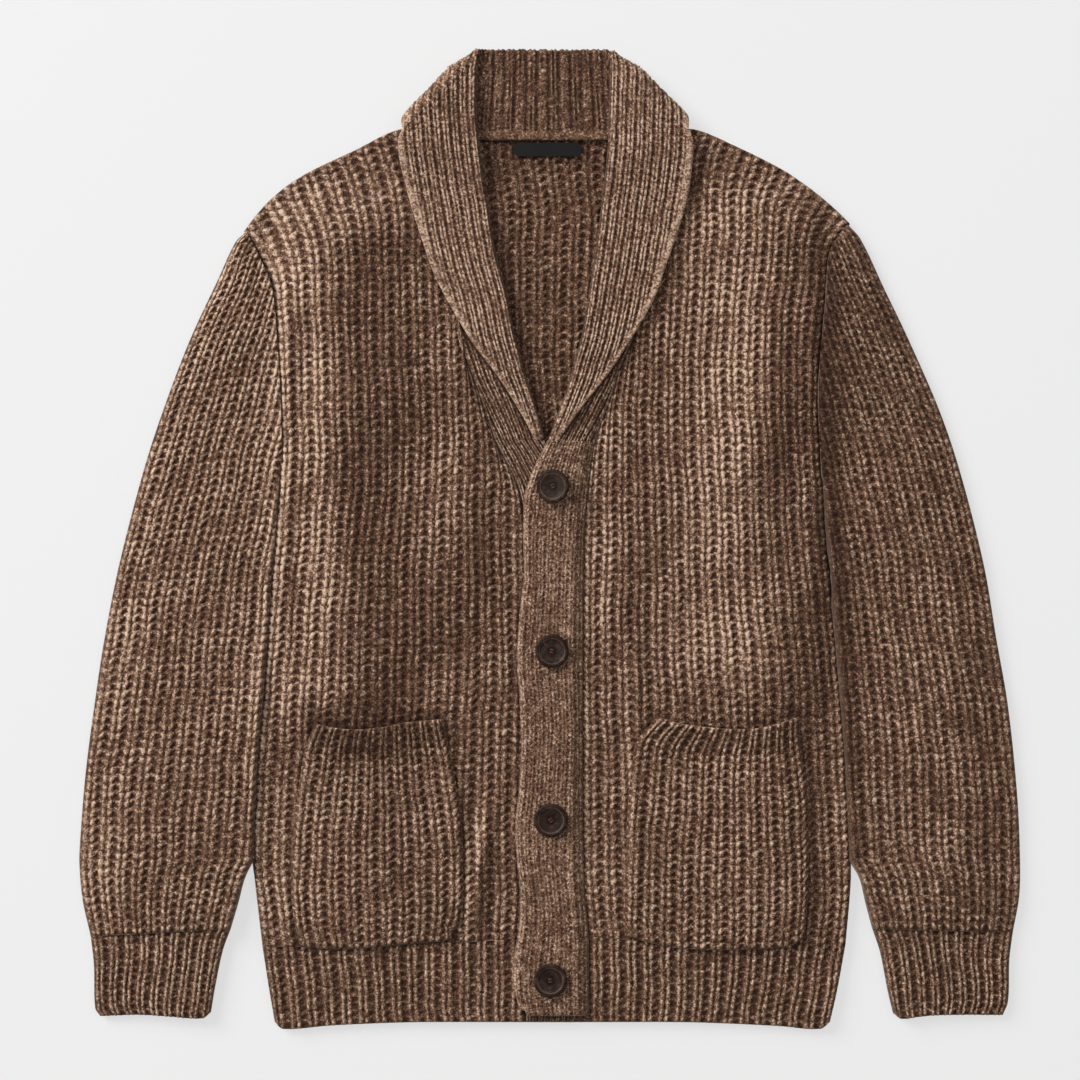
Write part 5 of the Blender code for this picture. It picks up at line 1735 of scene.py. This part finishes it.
    @staticmethod
    def front_painted_shades(side: Side) -> PaintedShades:
        """The painted shadows and highlights of a front: painted shadow round its pocket and mouth, under
        the collar's free edge and beside the band, and on the left a painted highlight along the side seam
        and armhole.
        """
        left, pocket = side is LEFT, POCKET[side]
        lapel = np.array([row[2:4] for row in LAPEL[side]])
        painted_shades = [
            (smooth(pocket["foot"]), 4.0, 0.5),
            (smooth(pocket["left"]), 3.4, 0.5 if left else 0.2),
            (smooth(pocket["right"]), 5.0, 0.12 if left else 0.25),
            (smooth(pocket["top"]), 7.0, 0.55),
            (smooth(lapel[:10]), 4.0 if left else 13.0, 0.35 if left else 0.45),
        ]
        if left:
            painted_shades.append((smooth(OVER[LEFT]), 4.0, 0.45))
            painted_shades.append((np.concatenate([smooth(SIDE[LEFT]), smooth(ARMHOLE[LEFT])]), 11.0, -0.26))
        return tuple(painted_shades)

    def sleeve(self, side: Side) -> None:
        """A sleeve, whose ribs follow its outer side and end at the armhole."""
        body = self.body_edge(side)
        shift = np.array([-2.0 * side.sign, 0.0])
        contact = CONTACT_STEP / (SIDE_STEPS + ARMHOLE_STEPS)
        armhole = body.at(np.linspace(1.0, UNDERARM, 60)) + shift
        beside = body.at(np.linspace(UNDERARM, contact, 60)) + shift
        fold = np.concatenate([beside, smooth([tuple(beside[-1]), *SLEEVE_END[side]])[1:]])
        inner = np.concatenate([armhole, fold[1:]])
        outer = smooth([tuple(armhole[0]), *SLEEVE_OUTER[side][1:]])

        def puff(x: Array, y: Array) -> Array:
            """How far the sleeve swells at these places."""
            out_x, in_x = self.sides(outer, inner, y)
            wide = np.maximum(np.abs(in_x - out_x), 1.0)
            across = np.clip(np.abs(x - out_x) / wide, 0.0, 1.0)
            round_part = 2.0 * ease(across / 0.28) * ease((1 - across) / 0.5)
            return round_part + 6.0 * across**1.2 * ease(wide / 90.0) + sway(x, y)

        lines = self.sleeve_lines(outer, inner)
        seam = np.concatenate([armhole, beside])
        cut = {"name": "sleeve_" + side.value, "flat": (0.32, 0.57), "area": 0.150}
        # Painted light: a faint painted highlight along the left sleeve's inner side; on the right sleeve, a
        # painted shadow of the body along the seam.
        cut["painted_shades"] = ((inner, 3.0, -0.1),) if side is LEFT else ((seam, 13.0, 0.45),)
        ribs = np.arange(len(lines)) / FINE
        Tube(lines, ribs, SLEEVE_KNIT, 1.5, (outer, fold), puff, fuller=1.9, **cut).make(WOOL)

    @staticmethod
    def cuff(side: Side) -> None:
        """A cuff, under its sleeve."""
        inside, outside = smooth(CUFF_INNER[side])[::-1], smooth(CUFF_OUTER[side])[::-1]
        start = np.array([inside[-1], outside[-1]])
        patch = Patch(Edge(smooth(CUFF_FOOT[side])), Edge(start), Edge(inside), Edge(outside))
        us = even(CUFF_RIBS, FINE)

        def puff(x: Array, y: Array) -> Array:
            """How far the cuff swells at these places."""
            return 3.0 - 3.0 * ease(distance(np.stack([x, y], axis=-1), inside) / 85.0)

        lines = patch.grid(us, np.linspace(0.0, 1.0, 41))
        cut = {"name": "cuff_" + side.value, "flat": (0.20, 0.067)}
        folds = (inside, outside)
        Tube(lines, us * CUFF_RIBS, CUFF_KNIT, 1.3, folds, puff, lips=(1.6, 0.5), **cut).make(WOOL)

    @staticmethod
    def sides(outer: Array, inner: Array, y: Array) -> tuple[Array, Array]:
        """The x of a sleeve's outer and inner side at these heights."""
        out_x = np.interp(-y, -outer[:, 1], outer[:, 0])
        return out_x, np.interp(-y, -inner[:, 1], inner[:, 0])

    def sleeve_lines(self, outer: Array, inner: Array) -> Array:
        """Lines along a sleeve's ribs, from the cuff up to where the inner side cuts them off.

        Args:
            outer: The outer side from the shoulder down.
            inner: The inner side from the shoulder down: the armhole, then the fold.

        Returns:
            The lines' points, as (columns, points, 2), the outer one first.
        """
        count = SLEEVE_RIBS * FINE
        foot = max(outer[-1, 1], inner[-1, 1]) - 8.0
        y = np.linspace(foot, outer[0, 1] + 2.0, 900)
        out_x, in_x = self.sides(outer, inner, y)
        pitch = (in_x - out_x) / count
        free = np.interp(y, *np.transpose(SLEEVE_PITCH)) / FINE * np.sign(pitch[0])
        pitch = pitch + (free - pitch) * ease((y - SLEEVE_CUT) / 40.0)
        lines = []
        for k in range(count + 1):
            x = out_x + k * pitch
            start = outer[-1, 1] + (inner[-1, 1] - outer[-1, 1]) * k / count
            inside = (in_x - x) * np.sign(in_x[0] - out_x[0])
            over = np.nonzero((inside < 0.0) & (y > SLEEVE_CUT + 1.0))[0]
            stop = outer[0, 1]
            if k > 0 and len(over):
                n = over[0]
                stop = float(np.interp(0.0, [inside[n], inside[n - 1]], [y[n], y[n - 1]]))
            level_at = start + (stop - start) * np.linspace(0.0, 1.0, 200)
            lines.append(np.stack([np.interp(level_at, y, x), level_at], axis=-1))
        return np.array(lines)

    def bands(self) -> None:
        """The two button bands."""
        left, right = (extended(smooth(UNDER[side]), self.run_on) for side in Side)
        foot, top = (np.array([left[n], right[n]]) for n in (0, -1))
        under = Patch(Edge(foot), Edge(top), Edge(left), Edge(right))
        us, marks, rounds = even(UNDER_RIBS, 8), np.arange(0.0, 500.0, 1.7), (1.5, 2.4, 2.4, 0.0)
        cut = {"name": "button_band_under", "flat": (0.042, 0.465), "rests_on": ("back", "hem_back")}
        # Painted shade along the under band's foot.
        cut["painted_shades"] = ((foot, 7.0, 0.5),)
        Panel(under, UNDER_RIBS, UNDER_KNIT, us, marks, level(FRONT_BASE), rounds, **cut).make(WOOL)
        left, right = (extended(smooth(OVER[side]), self.run_on) for side in Side)
        over = Patch(Edge(smooth(OVER_FOOT)), Edge(np.array([left[-1], right[-1]])), Edge(left), Edge(right))

        def base(x: Array, y: Array) -> Array:
            """The band's underside, down on the right front at its seam."""
            seam = np.interp(y, right[:, 1], right[:, 0])
            return OVER_BASE - (OVER_BASE - FRONT_BASE) * ease((x - seam + OVER_SLOPE) / (OVER_SLOPE - 1.0))

        us, marks, rounds = even(BAND_RIBS, 9), np.arange(0.0, 500.0, 1.3), (4.2, 1.5, 3.0, 0.0)
        # Painted highlight along the over band's left edge, and painted light along its right slope, against
        # the painted slope shade there.
        painted_shades = ((left + np.array([2.0, 0.0]), 3.6, -0.30), (right + np.array([-5.0, 0.0]), 6.0, -0.50))
        cut = {"name": "button_band_over", "flat": (0.055, 0.46), "rests_on": ("button_band_under",)}
        corners = ((-23.5, -381.2, 9.0, 9.0),)
        Panel(over, BAND_RIBS, BAND_KNIT, us, marks, base, rounds, corners, painted_shades=painted_shades, **cut).make(WOOL)

    @staticmethod
    def pocket(side: Side) -> None:
        """A patch pocket."""
        left, ribs = side is LEFT, POCKET_RIBS[side]
        patch = Patch(*(Edge(smooth(POCKET[side][k])) for k in ("foot", "top", "left", "right")))
        mouth = patch.top.line

        def base(x: Array, y: Array) -> Array:
            """The pocket's underside, which lifts off the front at its mouth."""
            off = distance(np.stack([x, y], axis=-1), mouth)
            return front_base(x, y) + CLOTH + POCKET_GAP + MOUTH_LIFT * np.exp(-((off / 16.0) ** 2))

        us, marks = even(ribs, FINE), np.arange(0.0, 220.0, 1.3)
        rounds = (3.4, 10.0, 3.4, 1.4) if left else (7.0, 6.0, 3.4, 1.4)
        corners = ((*patch.right.line[0], -15.0, 15.0),) if left else ()
        cut = {"name": "pocket_" + side.value, "flat": (0.14, 0.18), "rests_on": ("front_" + side.value,)}
        # Painted highlight along the pocket's mouth, and painted light just below it, against the painted
        # slope shade of the lifted mouth.
        cut["painted_shades"] = ((mouth, 2.6, -0.22), (mouth - np.array([0.0, 12.0]), 9.0, -0.16))
        Panel(patch, ribs, POCKET_KNIT, us, marks, base, rounds, corners, MOUTH_TRIM, **cut).make(WOOL)


# The room.


@dataclass
class Studio:
    """The surface, the light and the camera straight above.

    Attributes:
        eye: The camera's place over the garment, in m.
        lens: Its focal length, in mm.
        lamps: Each lamp's name, place, size in m and power in W.
        tone: The surface's colour.
        glow: How much light the surface gives off.
        sky: How much light comes from all round.
    """

    eye: tuple[float, float, float] = (-0.0077, -0.0016, 2.045)
    lens: float = 85.0
    lamps: tuple[tuple[str, tuple[float, float, float], float, float], ...] = (
        ("key", (-3.5, 2.6, 2.7), 2.6, 400.0),
        ("fill", (1.6, 0.6, 4.4), 3.6, 50.0),
    )
    tone: float = 0.16
    glow: float = 0.63
    sky: float = 0.36

    def make(self) -> None:
        """Builds the room."""
        scene, white = bpy.context.scene, (1.0, 1.0, 1.0, 1.0)
        bpy.ops.mesh.primitive_plane_add(size=7.0, location=(0.0, 0.0, -0.0006))
        floor = bpy.context.object
        floor.name = "floor"
        paper = bpy.data.materials.new("paper")
        paper.use_nodes = True
        Nodes(paper.node_tree).surface(
            Base_Color=(self.tone, self.tone, self.tone, 1.0),
            Roughness=0.95,
            Emission_Color=white,
            Emission_Strength=self.glow,
        )
        floor.data.materials.append(paper)
        for lamp in self.lamps:
            self.lamp(*lamp)
        world = bpy.data.worlds.new("room")
        world.use_nodes = True
        background = world.node_tree.nodes["Background"]
        background.inputs["Color"].default_value = white
        background.inputs["Strength"].default_value = self.sky
        scene.world = world
        scene.view_settings.view_transform = "Standard"
        camera = bpy.data.cameras.new("camera")
        camera.lens = self.lens
        camera.sensor_width = 36.0
        scene.camera = self.placed("camera", camera, self.eye)

    @staticmethod
    def placed(name: str, data: Any, place: tuple[float, float, float]) -> bpy.types.Object:
        """An object with this data, at a place."""
        holder = bpy.data.objects.new(name, data)
        holder.location = place
        bpy.context.collection.objects.link(holder)
        return holder

    def lamp(self, name: str, place: tuple[float, float, float], size: float, power: float) -> None:
        """A soft square lamp that faces the garment.

        Args:
            name: Its name.
            place: Where it stands, in m.
            size: Its side, in m.
            power: Its power, in W.
        """
        light = bpy.data.lights.new(name, "AREA")
        light.shape = "SQUARE"
        light.size = size
        light.energy = power
        across = math.hypot(place[0], place[1])
        turn = (0.0, math.atan2(across, place[2]), math.atan2(place[1], place[0]))
        self.placed(name, light, place).rotation_euler = turn


def main() -> None:
    """Builds the scene over the frame."""
    logging.basicConfig(level=logging.INFO, format="%(name)s %(message)s")
    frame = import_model()
    LOG.info("frame of %d nodes", len(frame["nodes"]))
    Cardigan().make()
    Studio().make()


if __name__ == "__main__":
    main()
